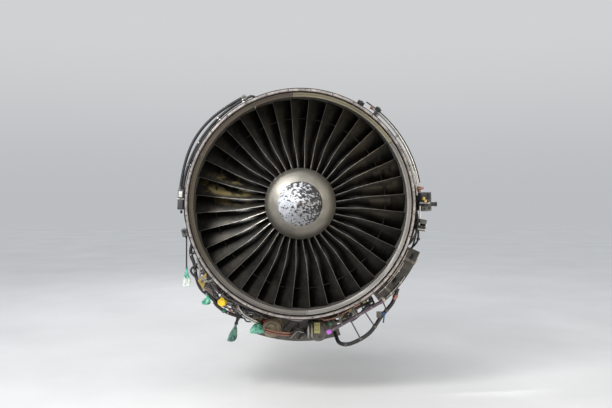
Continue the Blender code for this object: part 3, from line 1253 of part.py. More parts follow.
def make_vane_control(root, ring_axis, rod_axis):
    """The ring that turns the stator vanes, its actuator and the actuator's rod."""
    front = UNISON_STATION - UNISON_WIDTH / 2
    rear = UNISON_STATION + UNISON_WIDTH / 2
    reach, station = rod_place()
    inner = circumscribed(compressor_outside(front) + SEAT_GAP, CORE_STEPS)
    outer = inner + UNISON_HEIGHT
    outline = [(front, inner), (rear, inner), (rear, outer), (front, outer)]
    ring = turned("unison_ring", outline, CORE_STEPS, clock=0.0)
    lug_length = station - ROD_RADIUS - SEAT_GAP - front
    lug = block("unison_lug", 90.0, along(inner, outer, 0.5), front, (LUG_SIZE, lug_length, LUG_SIZE))
    finish(ring, STEEL, ring_axis)
    combine(ring, as_cutter(lug, ring_axis), "UNION")
    low = LUG_SIZE + ROD_TRAVEL
    rod_top = low + ACTUATOR_LENGTH / 2
    finish(upright("actuator_rod", ROD_RADIUS, -LUG_SIZE / 2, rod_top, (0.0, 0.0)), STEEL, rod_axis)
    actuator = upright("vane_actuator", ACTUATOR_RADIUS, low, low + ACTUATOR_LENGTH, (reach, station))
    finish(actuator, CAST_GREY, root)
    start = station - FOOT_WIDTH / 2
    seat = compressor_outside(start) * math.cos(math.pi / CORE_STEPS) + SEAT_GAP
    size = (FOOT_WIDTH, FOOT_WIDTH, reach - seat)
    foot = block("actuator_foot", 90.0 - 360.0 / CORE_STEPS, seat, start, size)
    combine(actuator, as_cutter(foot, root), "UNION")
    bore_top = rod_top + ROD_TRAVEL + SEAT_GAP
    bore = upright("rod_bore", ROD_RADIUS + 2 * SEAT_GAP, low - CUT_OVERRUN, bore_top, (reach, station))
    combine(actuator, as_cutter(bore, root), "DIFFERENCE")


# Assembly

def empty(name, parent, place=(0.0, 0.0, 0.0)):
    """An empty on a joint's axis, or one that carries pieces."""
    holder = bpy.data.objects.new(name, None)
    COLLECTION.objects.link(holder)
    holder.parent = parent
    holder.location = place
    return holder


def main():
    for piece in list(bpy.data.objects):
        bpy.data.objects.remove(piece)
    for collection in (COLLECTION, CUTTERS):
        bpy.context.scene.collection.children.link(collection)
    mount_middle = FRAME_END + CORE_FLANGE + 2 * SEAT_GAP + MOUNT_LENGTH / 2
    root = empty("engine", None, (0.0, -mount_middle, -MOUNT_HEIGHT))
    lp_axis = empty("lp_spool_axis", root)
    high_axis = empty("core_spool_axis", root)
    radial_axis = empty("radial_drive_axis", root, (0.0, DRIVE_STATION, 0.0))
    lay_axis = empty("horizontal_drive_axis", root, (0.0, 0.0, -LAYSHAFT_DEPTH))
    span = (TANK_TO_CLOCK - TANK_FROM_CLOCK) / TANK_STEPS
    cap_clock = TANK_FROM_CLOCK + (CAP_FACET + 0.5) * span
    cap_seat = TANK_OUTER * math.cos(math.radians(span / 2)) + SEAT_GAP
    cap_place = at_clock(cap_clock, cap_seat + CAP_HEIGHT / 2, CAP_STATION)
    ring_axis = empty("unison_ring_axis", root)
    rod_reach, rod_station = rod_place()
    rod_axis = empty("actuator_rod_axis", root, (rod_reach, rod_station, 0.0))
    cap_axis = empty("oil_cap_axis", root, cap_place)
    cap_axis.rotation_euler.y = math.radians(cap_clock)
    make_inlet_case(root)
    make_panels(root)
    make_spinner(lp_axis)
    make_fan_rotor(lp_axis)
    make_guide_vanes(root)
    make_booster(root, lp_axis)
    make_fan_frame(root)
    make_front_support(root)
    make_bearings(root, lp_axis)
    make_lp_shaft(lp_axis)
    make_compressor_case(root)
    make_core_rotors(high_axis)
    make_combustor(root)
    make_turbine(root, lp_axis)
    make_rear_frame(root)
    make_mounts(root)
    make_gearbox(root)
    make_drive_shafts(radial_axis, lay_axis)
    make_accessories(root)
    make_oil_tank(root, cap_axis)
    make_boxes(root)
    make_tubes(root)
    make_lead(root)
    make_vane_control(root, ring_axis, rod_axis)


main()
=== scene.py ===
"""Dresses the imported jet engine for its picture: smooth forms, detailed metal, tubes and leads.

Metres. Shapes are written in engine coordinates, as in the part's own source: Y is the
distance behind the front flange and the shaft line lies at X = Z = 0. Clock angles run
clockwise from the top, seen from the front.
"""
import math
import random

import bmesh
import bpy
from mathutils import Matrix, Vector


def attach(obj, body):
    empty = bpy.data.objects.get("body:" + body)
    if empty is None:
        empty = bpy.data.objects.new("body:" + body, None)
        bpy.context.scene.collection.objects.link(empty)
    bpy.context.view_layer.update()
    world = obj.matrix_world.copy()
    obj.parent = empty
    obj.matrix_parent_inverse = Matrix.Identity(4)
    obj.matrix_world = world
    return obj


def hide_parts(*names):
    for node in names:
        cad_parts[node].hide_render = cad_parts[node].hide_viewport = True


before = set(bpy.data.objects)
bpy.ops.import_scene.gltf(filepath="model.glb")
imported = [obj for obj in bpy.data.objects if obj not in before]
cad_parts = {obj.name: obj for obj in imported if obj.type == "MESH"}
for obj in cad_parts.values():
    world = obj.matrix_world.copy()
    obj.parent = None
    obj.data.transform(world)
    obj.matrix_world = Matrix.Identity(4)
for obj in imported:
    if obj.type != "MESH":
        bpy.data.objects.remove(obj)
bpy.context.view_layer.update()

ENGINE = Vector((0.0, -1.0686, -0.50))      # the engine's own origin in the shared frame
FAN_TIP = 0.8675
CASE_BORE = 0.8687                          # inside of the fan case behind the panels
CASE_SKIN = 0.8867                          # outside of the fan case before and behind its belt
CONTAINMENT = 0.9007                        # outside of the thick belt round the fan
FLANGE_TOP = 0.925                          # outside of the flange between fan case and fan frame
CASE_LENGTH = 0.70
SHARE_LENGTH = 0.70                         # stations of the hose and duct tables are shares of this
CAMERA_RIGHT, CAMERA_RISE = 0.03, 0.038     # the camera's place beside the shaft line
CAMERA_AWAY = 5.0                           # and before the front flange
FOCAL_PIXELS = 639.0                        # focal length in pixels of the photo
AXIS_PIXEL = (304.0, 199.0)                 # pixel that the camera's axis meets


# Camera: level, straight into the fan

camera_data = bpy.data.cameras.new("camera")
camera_data.lens = 37.6
camera_data.sensor_width = 36.0
camera_data.shift_x = 0.0033
camera_data.shift_y = -0.0082
camera_data.clip_end = 100.0
camera = bpy.data.objects.new("camera", camera_data)
camera.location = ENGINE + Vector((CAMERA_RIGHT, -CAMERA_AWAY, CAMERA_RISE))
camera.rotation_euler = (math.radians(90.0), 0.0, 0.0)
bpy.context.scene.collection.objects.link(camera)
bpy.context.scene.camera = camera


# Small tools

def along(start, end, share):
    return start + (end - start) * share


def at_clock(clock, radius, station):
    """Point at a clock angle, a distance from the shaft line and a station."""
    angle = math.radians(clock)
    return Vector((radius * math.sin(angle), station, radius * math.cos(angle)))


def outward(clock):
    """Direction away from the shaft line."""
    return at_clock(clock, 1.0, 0.0)


def round_case(clock):
    """Direction round the case, the way that clock angles grow."""
    return at_clock(clock + 90.0, 1.0, 0.0)


def seen_at(pixel_x, pixel_y, station):
    """Point of the engine at a station that the camera sees at a place in the picture."""
    reach = (CAMERA_AWAY + station) / FOCAL_PIXELS
    return Vector((CAMERA_RIGHT + (pixel_x - AXIS_PIXEL[0]) * reach, station,
                   CAMERA_RISE - (pixel_y - AXIS_PIXEL[1]) * reach))


def smooth_line(points, count):
    """Points on a smooth curve through a few given ones."""
    points = [Vector(point) for point in points]
    points = [2 * points[0] - points[1], *points, 2 * points[-1] - points[-2]]
    spans = len(points) - 3
    line = []
    for index in range(count + 1):
        place = index / count * spans
        span = min(int(place), spans - 1)
        t = place - span
        a, b, c, d = points[span:span + 4]
        line.append(0.5 * (2 * b + (c - a) * t + (2 * a - 5 * b + 4 * c - d) * t ** 2
                           + (3 * b - a - 3 * c + d) * t ** 3))
    return line


def add(name, mesh, materials, body="engine", sharp=35.0):
    """Makes a piece of the engine from a mesh and hangs it on its body."""
    for polygon in mesh.polygons:
        polygon.use_smooth = True
    mesh.set_sharp_from_angle(angle=math.radians(sharp))
    for material in materials if isinstance(materials, (list, tuple)) else [materials]:
        mesh.materials.append(material)
    piece = bpy.data.objects.new(name, mesh)
    piece.location = ENGINE
    bpy.context.scene.collection.objects.link(piece)
    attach(piece, body)
    return piece


def from_shape(name, shape, materials, body="engine", sharp=35.0):
    """Makes a piece from a bmesh."""
    bmesh.ops.recalc_face_normals(shape, faces=shape.faces)
    mesh = bpy.data.meshes.new(name)
    shape.to_mesh(mesh)
    shape.free()
    return add(name, mesh, materials, body, sharp)


def rounded(outline, radius, closed=True, count=3):
    """Rounds the corners of an outline of (station, radius) points."""
    points = [Vector(point) for point in outline]
    last = len(points) - 1
    result = []
    for index, corner in enumerate(points):
        if not closed and index in (0, last):
            result.append(corner)
            continue
        before = points[index - 1] - corner
        after = points[(index + 1) % len(points)] - corner
        reach = min(radius, before.length * 0.45, after.length * 0.45)
        turn = before.angle(after)
        if turn > 2.9 or reach < 1e-5:
            result.append(corner)
            continue
        first = corner + before.normalized() * reach
        second = corner + after.normalized() * reach
        for step in range(count + 1):
            t = step / count
            result.append((1 - t) ** 2 * first + 2 * t * (1 - t) * corner + t ** 2 * second)
    return [tuple(point) for point in result]


def lathe_into(shape, outline, steps, closed=True, from_clock=0.0, sweep=360.0, matrix=None, slots=None):
    """Adds a turned form to a bmesh. slots gives the material of each stretch of the outline."""
    full = abs(sweep - 360.0) < 1e-6
    count = steps if full else steps + 1
    layer = shape.loops.layers.uv.verify()
    lengths = [0.0]
    for a, b in zip(outline, outline[1:]):
        lengths.append(lengths[-1] + math.dist(a, b))
    rings = []
    for index in range(count):
        clock = math.radians(from_clock + sweep * index / steps)
        ring = []
        for station, radius in outline:
            point = Vector((radius * math.sin(clock), station, radius * math.cos(clock)))
            ring.append(shape.verts.new(matrix @ point if matrix else point))
        rings.append(ring)
    stretches = len(outline) if closed else len(outline) - 1
    for index in range(steps):
        here, there = rings[index], rings[(index + 1) % count]
        for stretch in range(stretches):
            following = (stretch + 1) % len(outline)
            corners = [here[stretch], here[following], there[following], there[stretch]]
            try:
                face = shape.faces.new(corners)
            except ValueError:
                continue
            if slots:
                face.material_index = slots[stretch]
            low = lengths[stretch]
            high = lengths[following] if following else lengths[-1] + math.dist(outline[-1], outline[0])
            for loop, place in zip(face.loops, ((index, low), (index, high), (index + 1, high), (index + 1, low))):
                loop[layer].uv = (place[0] / steps * sweep / 360.0, place[1])
    if not full:
        for ring in (rings[0], rings[-1]):
            shape.faces.new(ring)
    return shape


def weld(shape):
    """Joins corners that fall together."""
    bmesh.ops.remove_doubles(shape, verts=shape.verts, dist=1e-5)
    bmesh.ops.dissolve_degenerate(shape, dist=1e-6, edges=shape.edges)


def lathe(name, outline, materials, steps=120, closed=True, body="engine", edge=0.0015, **more):
    """A smooth turned piece with rounded edges."""
    shape = bmesh.new()
    if edge:
        outline = rounded(outline, edge, closed)
    lathe_into(shape, outline, steps, closed)
    weld(shape)
    return from_shape(name, shape, materials, body, **more)


def box_into(shape, size, matrix, bevel=0.004, segments=2):
    """Adds a box with rounded edges."""
    made = bmesh.ops.create_cube(shape, size=1.0)
    corners = made["verts"]
    bmesh.ops.scale(shape, vec=size, verts=corners)
    edges = list({edge for corner in corners for edge in corner.link_edges})
    if bevel:
        grown = bmesh.ops.bevel(
            shape, geom=edges, offset=min(bevel, min(size) * 0.3), segments=segments, affect="EDGES", profile=0.5)
        corners = list({corner for face in grown["faces"] for corner in face.verts} | {
            corner for corner in corners if corner.is_valid})
        linked = set(corners)
        for corner in list(corners):
            for edge in corner.link_edges:
                linked.update(edge.verts)
        corners = list(linked)
    bmesh.ops.transform(shape, matrix=matrix, verts=corners)


def turned(degrees, axis="X"):
    """Matrix of a turn."""
    return Matrix.Rotation(math.radians(degrees), 4, axis)


def placed(clock, radius, station):
    """Matrix of a frame on the fan case: its Z points away from the shaft line."""
    return Matrix.Translation(at_clock(clock, radius, station)) @ turned(clock, "Y")


def to_front(place):
    """Matrix of a frame at a place with its Z to the front."""
    return Matrix.Translation(place) @ turned(90.0)


def to_rear(place):
    """Matrix of a frame at a place with its Z to the rear."""
    return Matrix.Translation(place) @ turned(-90.0)


def pointing(place, direction):
    """Matrix of a frame at a place with its Z along a direction."""
    turn = Vector((0.0, 0.0, 1.0)).rotation_difference(Vector(direction)).to_matrix().to_4x4()
    return Matrix.Translation(place) @ turn


def drum_into(shape, profile, matrix, steps=24):
    """Adds a solid of revolution about its own Z. profile is (height, radius) from foot to top."""
    flat = [(profile[0][0], 0.0), *profile, (profile[-1][0], 0.0)]
    turn = matrix @ turned(90.0)
    lathe_into(shape, flat[::-1], steps, closed=False, matrix=turn)


def bolt_into(shape, place, direction, size=0.006, height=0.005):
    """Adds a bolt head with a washer."""
    matrix = pointing(place, direction)
    drum_into(shape, [(0.0, size * 1.05), (height * 0.22, size * 1.05)], matrix, 12)
    drum_into(shape, [(height * 0.2, size * 0.82), (height * 0.85, size * 0.82), (height, size * 0.62)], matrix, 6)


def bolts(name, places, material, body="engine", size=0.006, height=0.005):
    """One mesh of bolt heads, each at a place and along a direction."""
    shape = bmesh.new()
    for place, direction in places:
        bolt_into(shape, place, direction, size, height)
    weld(shape)
    return from_shape(name, shape, material, body, sharp=25.0)


def ring_of_bolts(station, radius, count, way, first=0.0):
    """Places of bolts round a flange. way is -1 for a head on its front face."""
    return [(at_clock(first + 360.0 * index / count, radius, station), (0.0, way, 0.0)) for index in range(count)]


def bolt_circle(centre, radius, count, way, first=0.0):
    """Places of bolts on a circle about an accessory's own axis."""
    return [(centre + Vector((radius * math.cos(angle), 0.0, radius * math.sin(angle))), (0.0, way, 0.0))
            for angle in (math.tau * (step + first) / count for step in range(count))]


def pipe_into(shape, line, radius, sides=10):
    """Adds a tube with closed ends along a line of points."""
    layer = shape.loops.layers.uv.verify()
    points = [Vector(point) for point in line]
    tangents = [(after - before).normalized()
                for before, after in zip([points[0], *points[:-1]], [*points[1:], points[-1]])]
    side = tangents[0].orthogonal().normalized()
    rings, reach, last = [], 0.0, points[0]
    lengths = []
    for point, tangent in zip(points, tangents):
        side = (side - tangent * side.dot(tangent)).normalized()
        other = tangent.cross(side)
        rings.append([
            shape.verts.new(point + radius * (math.cos(a) * side + math.sin(a) * other))
            for a in (2 * math.pi * step / sides for step in range(sides))])
        reach += (point - last).length
        last = point
        lengths.append(reach)
    for index in range(len(rings) - 1):
        for step in range(sides):
            following = (step + 1) % sides
            face = shape.faces.new(
                (rings[index][step], rings[index][following], rings[index + 1][following], rings[index + 1][step]))
            places = ((step, index), (step + 1, index), (step + 1, index + 1), (step, index + 1))
            for loop, (u, v) in zip(face.loops, places):
                loop[layer].uv = (u / sides, lengths[v])
    for ring in (rings[0], rings[-1]):
        shape.faces.new(ring)


def pipes(name, runs, material, sides=12):
    """One mesh of several tubes, each a line and its radius."""
    shape = bmesh.new()
    for line, radius in runs:
        pipe_into(shape, line, radius, sides)
    return from_shape(name, shape, material, sharp=50.0)


def pipe(name, line, radius, material, sides=12):
    return pipes(name, [(line, radius)], material, sides)


def arc(from_clock, to_clock, radius, station, count, bulge=0.0):
    """Points round the case, with a swell in the middle."""
    return [at_clock(along(from_clock, to_clock, share), radius + bulge * math.sin(math.pi * share) ** 2, station)
            for share in (index / count for index in range(count + 1))]


# Materials

ROUGHNESS_SPREAD = 0.12      # how far the roughness of a surface strays to each side
STAIN_EDGE = 0.06            # half the width of a stain's soft edge


def put(tree, socket, value):
    """Links an output to a socket, or sets a plain value or colour on it."""
    if hasattr(value, "links"):
        tree.links.new(value, socket)
    elif socket.type == "RGBA":
        socket.default_value = (*value, 1.0)
    else:
        socket.default_value = value


def added(tree, kind, **inputs):
    """Adds a node with values or outputs on its sockets."""
    node = tree.nodes.new(f"ShaderNode{kind}")
    for name, value in inputs.items():
        put(tree, node.inputs[name.replace("_", " ")], value)
    return node


def mixed(tree, factor, first, second):
    """A mix of two colours or colour outputs."""
    mix = tree.nodes.new("ShaderNodeMix")
    mix.data_type = "RGBA"
    for socket, value in (("Factor", factor), ("A", first), ("B", second)):
        put(tree, mix.inputs[socket], value)
    return mix.outputs["Result"]


def stepped(tree, value, low, high, invert=False):
    """A soft step of a value from 0 at low to 1 at high, or from 1 to 0."""
    step = added(tree, "MapRange", Value=value, From_Min=low, From_Max=high, To_Min=float(invert),
                 To_Max=float(not invert))
    step.interpolation_type = "SMOOTHSTEP"
    return step.outputs["Result"]


def between(tree, value, low, high):
    """A value from 0 to 1 laid over another range."""
    return added(tree, "MapRange", Value=value, To_Min=low, To_Max=high).outputs["Result"]


def calculated(tree, operation, first, second):
    node = tree.nodes.new("ShaderNodeMath")
    node.operation = operation
    for socket, value in zip(node.inputs, (first, second)):
        put(tree, socket, value)
    return node.outputs["Value"]


def product(tree, first, second):
    return calculated(tree, "MULTIPLY", first, second)


def total(tree, first, second):
    return calculated(tree, "ADD", first, second)


def noise(tree, vector, scale, detail=4.0, roughness=0.55, distortion=0.0):
    return added(tree, "TexNoise", Vector=vector, Scale=scale, Detail=detail, Roughness=roughness,
                 Distortion=distortion).outputs["Fac"]


def ramp(tree, value, *stops):
    """A colour ramp through (place, colour) stops, its two ends first."""
    node = added(tree, "ValToRGB", Fac=value)
    elements = node.color_ramp.elements
    for index, (place, colour) in enumerate(stops):
        element = elements[index] if index < 2 else elements.new(place)
        element.position = place
        element.color = (*colour, 1.0)
    return node.outputs["Color"]


def parts_of(tree, vector):
    return added(tree, "SeparateXYZ", Vector=vector).outputs


def squared_reach(tree, parts):
    """Square of a point's distance from the shaft line."""
    return total(tree, product(tree, parts["X"], parts["X"]), product(tree, parts["Z"], parts["Z"]))


def scaled(colour, factor, lift=0.0):
    return [min(1.0, channel * factor + lift) for channel in colour]


def start_material(name, metallic, roughness):
    """A new material with its tree, its shader and its texture coordinates."""
    made = bpy.data.materials.new(name)
    made.use_nodes = True
    tree = made.node_tree
    shader = tree.nodes["Principled BSDF"]
    shader.inputs["Metallic"].default_value = metallic
    shader.inputs["Roughness"].default_value = roughness
    return made, tree, shader, tree.nodes.new("ShaderNodeTexCoord").outputs


def finish_shader(tree, shader, base, height, strength, distance):
    """Gives a shader its colour and its bump."""
    put(tree, shader.inputs["Base Color"], base)
    bump = added(tree, "Bump", Strength=strength, Distance=distance, Height=height)
    put(tree, shader.inputs["Normal"], bump.outputs["Normal"])


def material(name, colour, roughness, metallic=0.0, vary=0.12, scale=9.0, stain=None, stain_share=0.5, grain=0.04,
             grain_scale=140.0, stretch=(1.0, 1.0, 1.0)):
    """A painted, cast or bare surface with blotches, stains, uneven gloss and fine grain."""
    made, tree, shader, place = start_material(name, metallic, roughness)
    spread = added(tree, "Mapping", Scale=stretch, Vector=place["Object"]).outputs["Vector"]
    blotch = noise(tree, spread, scale, 6.0, 0.62)
    base = ramp(tree, blotch, (0.32, scaled(colour, 1.0 - 2.2 * vary)), (0.68, scaled(colour, 1.0 + 1.6 * vary)))
    if stain:
        spots = noise(tree, spread, scale * 2.7, 4.0, 0.5)
        level = 1.0 - stain_share
        where = ramp(tree, spots, (level - STAIN_EDGE, (0.0, 0.0, 0.0)), (level + STAIN_EDGE, (1.0, 1.0, 1.0)))
        base = mixed(tree, where, base, stain)
    put(tree, shader.inputs["Roughness"], between(
        tree, blotch, max(0.05, roughness - ROUGHNESS_SPREAD), min(1.0, roughness + ROUGHNESS_SPREAD)))
    finish_shader(tree, shader, base, noise(tree, spread, grain_scale, 3.0, 0.5), grain * 4.0, 0.0008)
    return made


# Painted reflections on the blades, patches of warm light on their faces: middle, lean, spread, colour and strength
PAINTED_BLADE_REFLECTIONS = (
    ((-0.60, 0.0, 0.115), 14.0, (0.27, 4.0, 0.15), (0.42, 0.34, 0.15), 0.75),
    ((0.64, 0.0, 0.17), -12.0, (0.24, 4.0, 0.36), (0.105, 0.085, 0.066), 0.8),
)


def blade_material():
    """Blade metal in near-black, which is painted shade, with painted reflections on its faces: u runs round the
    section from the nose, v from root to tip.
    """
    made, tree, shader, place = start_material("blade_metal", 0.75, 0.4)
    section = parts_of(tree, place["UV"])
    blotch = noise(tree, place["Object"], 7.0, 5.0)
    streak = noise(tree, place["Object"], 38.0, 6.0, 0.7)
    # Near-black face colour: painted shade of the blades deep in the inlet; the blotches and streaks are the metal's
    # own.
    base = mixed(tree, stepped(tree, blotch, 0.36, 0.66), (0.010, 0.0098, 0.0095), (0.026, 0.0235, 0.019))
    base = mixed(tree, product(tree, stepped(tree, streak, 0.45, 0.75), 0.5), base, (0.050, 0.046, 0.038))
    edge = stepped(tree, total(tree, section["X"], product(tree, streak, 0.04)), 0.024, 0.040, invert=True)
    root = stepped(tree, section["Y"], 0.1, 0.85, invert=True)
    behind_edge = stepped(tree, section["X"], 0.08, 0.32)
    # Painted reflections: patches of warm light laid on the blade faces, kept off the leading edges.
    for middle, lean, spread, reflection_colour, amount in PAINTED_BLADE_REFLECTIONS:
        spot = added(tree, "Mapping", Location=middle, Rotation=(0.0, math.radians(lean), 0.0), Scale=spread,
                     Vector=place["Object"])
        spot.vector_type = "TEXTURE"
        inside = spot.outputs["Vector"]
        far = tree.nodes.new("ShaderNodeVectorMath")
        far.operation = "LENGTH"
        tree.links.new(inside, far.inputs[0])
        near = stepped(tree, far.outputs["Value"], 0.45, 1.0, invert=True)
        ragged = stepped(tree, noise(tree, inside, 2.6, 4.0), 0.42, 0.60)
        reflection_patch = product(tree, product(tree, near, ragged), behind_edge)
        base = mixed(tree, product(tree, reflection_patch, amount), base, reflection_colour)
    # The pale nose is worn edge metal; its brightening towards the root is painted light.
    nose = mixed(tree, root, (0.20, 0.19, 0.165), (0.46, 0.44, 0.40))
    base = mixed(tree, edge, base, nose)
    put(tree, shader.inputs["Roughness"], between(tree, streak, 0.30, 0.52))
    finish_shader(tree, shader, base, noise(tree, place["Object"], 220.0, 3.0), 0.10, 0.0006)
    return made


def chipped_material():
    """Pale paint of the spinner's tip with many dark stone chips, most of them at the upper right."""
    made, tree, shader, place = start_material("chipped_paint", 0.0, 0.42)
    parts = parts_of(tree, place["Object"])
    turn = added(tree, "Mapping", Rotation=(0.0, math.radians(38.0), 0.0), Scale=(38.0, 34.0, 70.0),
                 Vector=place["Object"])
    chips = noise(tree, turn.outputs["Vector"], 1.0, 2.0, 0.5, 0.35)
    slope = total(tree, product(tree, parts["X"], 0.62), product(tree, parts["Z"], 0.38))
    squared = squared_reach(tree, parts)
    rim = product(tree, stepped(tree, squared, 0.0225, 0.0305), 0.075)
    where = stepped(tree, total(tree, total(tree, chips, slope), rim), 0.514, 0.531)
    tone = noise(tree, place["Object"], 26.0, 4.0)
    pale = mixed(tree, stepped(tree, tone, 0.35, 0.65), (0.30, 0.315, 0.345), (0.44, 0.455, 0.49))
    dirt = mixed(tree, stepped(tree, tone, 0.4, 0.7), (0.012, 0.013, 0.016), (0.05, 0.048, 0.042))
    tip = stepped(tree, squared, 0.00008, 0.00045, invert=True)
    base = mixed(tree, tip, mixed(tree, where, pale, dirt), (0.045, 0.028, 0.018))
    finish_shader(tree, shader, base, where, -0.45, 0.0006)
    return made


def spinner_material():
    """Satin aluminium with smears, darkened towards the blades by painted shade and some dirt."""
    made, tree, shader, place = start_material("spinner_metal", 0.85, 0.42)
    smear = noise(tree, place["Object"], 11.0, 5.0)
    base = mixed(tree, stepped(tree, smear, 0.3, 0.7), (0.40, 0.38, 0.335), (0.52, 0.50, 0.455))
    squared = squared_reach(tree, parts_of(tree, place["Object"]))
    # Painted shade and some dirt: darker near the rim by the blade roots.
    base = mixed(tree, product(tree, stepped(tree, squared, 0.050, 0.079), 0.72), base, (0.13, 0.12, 0.095))
    put(tree, shader.inputs["Roughness"], between(tree, smear, 0.47, 0.58))
    finish_shader(tree, shader, base, noise(tree, place["Object"], 190.0, 4.0), 0.10, 0.0005)
    return made


def sleeve_material(name, colour, rough=0.6):
    """Woven sleeve of a lead or hose: u runs round it and v along it, in metres."""
    made, tree, shader, place = start_material(name, 0.0, rough)
    spread = added(tree, "Mapping", Scale=(16.0, 900.0, 1.0), Rotation=(0.0, 0.0, math.radians(18.0)),
                   Vector=place["UV"])
    weave = added(tree, "TexChecker", Scale=1.0, Vector=spread.outputs["Vector"]).outputs["Fac"]
    tone = noise(tree, place["Object"], 30.0, 3.0)
    dark = mixed(tree, tone, scaled(colour, 0.6), scaled(colour, 1.5))
    base = mixed(tree, product(tree, weave, 0.5), dark, scaled(colour, 1.7, 0.004))
    finish_shader(tree, shader, base, weave, 0.35, 0.0006)
    return made


def film_material(name, colour):
    """Thin crumpled plastic film."""
    made, tree, shader, place = start_material(name, 0.0, 0.28)
    folds = noise(tree, place["Object"], 38.0, 5.0, 0.6, 0.8)
    base = mixed(tree, stepped(tree, folds, 0.35, 0.65), scaled(colour, 0.55), scaled(colour, 1.35, 0.04))
    shader.inputs["Specular IOR Level"].default_value = 0.7
    finish_shader(tree, shader, base, folds, 0.9, 0.004)
    return made


def panel_tone(name, deep, front):
    """Face sheet paint of one panel: fine holes as dark dots of painted shade, a pale rear edge and a pale front lip
    that are painted highlights, and a thin grey line.
    """
    made, tree, shader, place = start_material(name, 0.15, 0.5)
    holes = added(tree, "TexVoronoi", Scale=160.0, Vector=place["Object"])
    station = parts_of(tree, place["Object"])["Y"]
    where = stepped(tree, noise(tree, place["Object"], 6.0, 6.0, 0.65), 0.35, 0.65)
    dull = mixed(tree, where, scaled(deep, 0.78), deep)
    pale = mixed(tree, where, scaled(front, 0.85), front)
    # Pale towards the rear edge: painted highlight.
    base = mixed(tree, stepped(tree, station, 0.115, 0.15), dull, pale)
    line = product(tree, stepped(tree, station, 0.088, 0.094), stepped(tree, station, 0.106, 0.112, invert=True))
    base = mixed(tree, line, base, (0.36, 0.36, 0.36))
    # Pale front lip: painted highlight.
    base = mixed(tree, stepped(tree, station, 0.012, 0.02, invert=True), base, pale)
    # Dark dots for the holes: painted shade in them.
    dots = stepped(tree, holes.outputs["Distance"], 0.18, 0.26, invert=True)
    base = mixed(tree, product(tree, dots, 0.6), base, (0.05, 0.045, 0.04))
    finish_shader(tree, shader, base, dots, -0.3, 0.0006)
    return made


BLADE = blade_material()
CHIPPED = chipped_material()
SPINNER = spinner_material()
FLANGE = material("flange_metal", (0.33, 0.295, 0.285), 0.5, 0.3, vary=0.26, scale=16.0, stain=(0.42, 0.43, 0.36),
                  stain_share=0.34, grain=0.08)
CASE = material("case_metal", (0.31, 0.302, 0.29), 0.42, 0.6, vary=0.07, scale=5.0, stain=(0.24, 0.23, 0.21),
                stain_share=0.30)
BARE = material("bare_metal", (0.55, 0.54, 0.52), 0.32, 0.95, vary=0.1, scale=10.0, grain=0.03)
STEEL = material("steel", (0.34, 0.33, 0.315), 0.36, 0.9, vary=0.2, scale=20.0, stain=(0.13, 0.12, 0.11),
                 stain_share=0.3, grain=0.05)
CAST = material("cast_metal", (0.30, 0.30, 0.285), 0.6, 0.35, vary=0.14, scale=22.0, stain=(0.15, 0.14, 0.125),
                stain_share=0.30, grain=0.16, grain_scale=260.0)
GEARBOX = material("gearbox_metal", (0.135, 0.125, 0.115), 0.55, 0.3, vary=0.2, scale=20.0, stain=(0.06, 0.055, 0.05),
                   stain_share=0.35, grain=0.16, grain_scale=260.0)
HOT = material("hot_metal", (0.40, 0.345, 0.285), 0.38, 0.9, vary=0.18, scale=5.0, stain=(0.22, 0.19, 0.22),
               stain_share=0.34, stretch=(1.0, 0.35, 1.0))
DARK_PAINT = material("dark_paint", (0.065, 0.065, 0.07), 0.5, 0.0, vary=0.2, scale=14.0, stain=(0.13, 0.13, 0.12),
                      stain_share=0.22, grain=0.1)
TANK_PAINT = material("tank_paint", (0.052, 0.050, 0.047), 0.55, 0.1, vary=0.35, scale=9.0, stain=(0.13, 0.125, 0.11),
                      stain_share=0.34, grain=0.12)
BLACK = material("black_plastic", (0.022, 0.022, 0.024), 0.45, 0.0, vary=0.2, scale=24.0, grain=0.12)
GREY_BOX = material("grey_box", (0.12, 0.125, 0.122), 0.5, 0.1, vary=0.15, scale=18.0, stain=(0.05, 0.05, 0.05),
                    stain_share=0.35, grain=0.1)
PALE = material("pale_paint", (0.66, 0.66, 0.62), 0.45, 0.0, vary=0.1, scale=18.0, stain=(0.42, 0.40, 0.34),
                stain_share=0.22)
GOLD = material("gold_metal", (0.62, 0.46, 0.16), 0.34, 0.9, vary=0.14, scale=30.0)
COPPER = material("copper_tube", (0.34, 0.175, 0.13), 0.36, 0.75, vary=0.16, scale=24.0)
YELLOW = material("yellow_plastic", (0.86, 0.60, 0.03), 0.42, 0.0, vary=0.08, scale=30.0, grain=0.06)
MAGENTA = material("magenta_plastic", (0.55, 0.16, 0.70), 0.4, 0.0, vary=0.1, scale=30.0, grain=0.06)
RED = material("red_plastic", (0.62, 0.05, 0.05), 0.4, 0.0, vary=0.1, scale=30.0, grain=0.06)
BLUE = material("blue_strap", (0.03, 0.09, 0.24), 0.55, 0.0, vary=0.12, scale=30.0, grain=0.1)
OLIVE_BOX = material("olive_box", (0.33, 0.32, 0.12), 0.5, 0.1, vary=0.15, scale=20.0, grain=0.1)
GREEN_PLASTIC = material("green_plastic", (0.05, 0.28, 0.18), 0.4, 0.0, vary=0.12, scale=30.0, grain=0.06)
PURPLE_TUBE = material("tinted_tube", (0.15, 0.115, 0.155), 0.4, 0.5, vary=0.16, scale=14.0, stain=(0.11, 0.085, 0.07),
                       stain_share=0.4)
SLEEVE = sleeve_material("black_sleeve", (0.022, 0.022, 0.024))
BRAID = sleeve_material("steel_braid", (0.22, 0.22, 0.21), rough=0.4)
GREEN_FILM = film_material("green_film", (0.10, 0.42, 0.29))
DARK_FILM = film_material("dark_film", (0.03, 0.13, 0.10))
PALE_FILM = film_material("pale_film", (0.62, 0.70, 0.66))


# Stage: a pale floor and an even pale surround

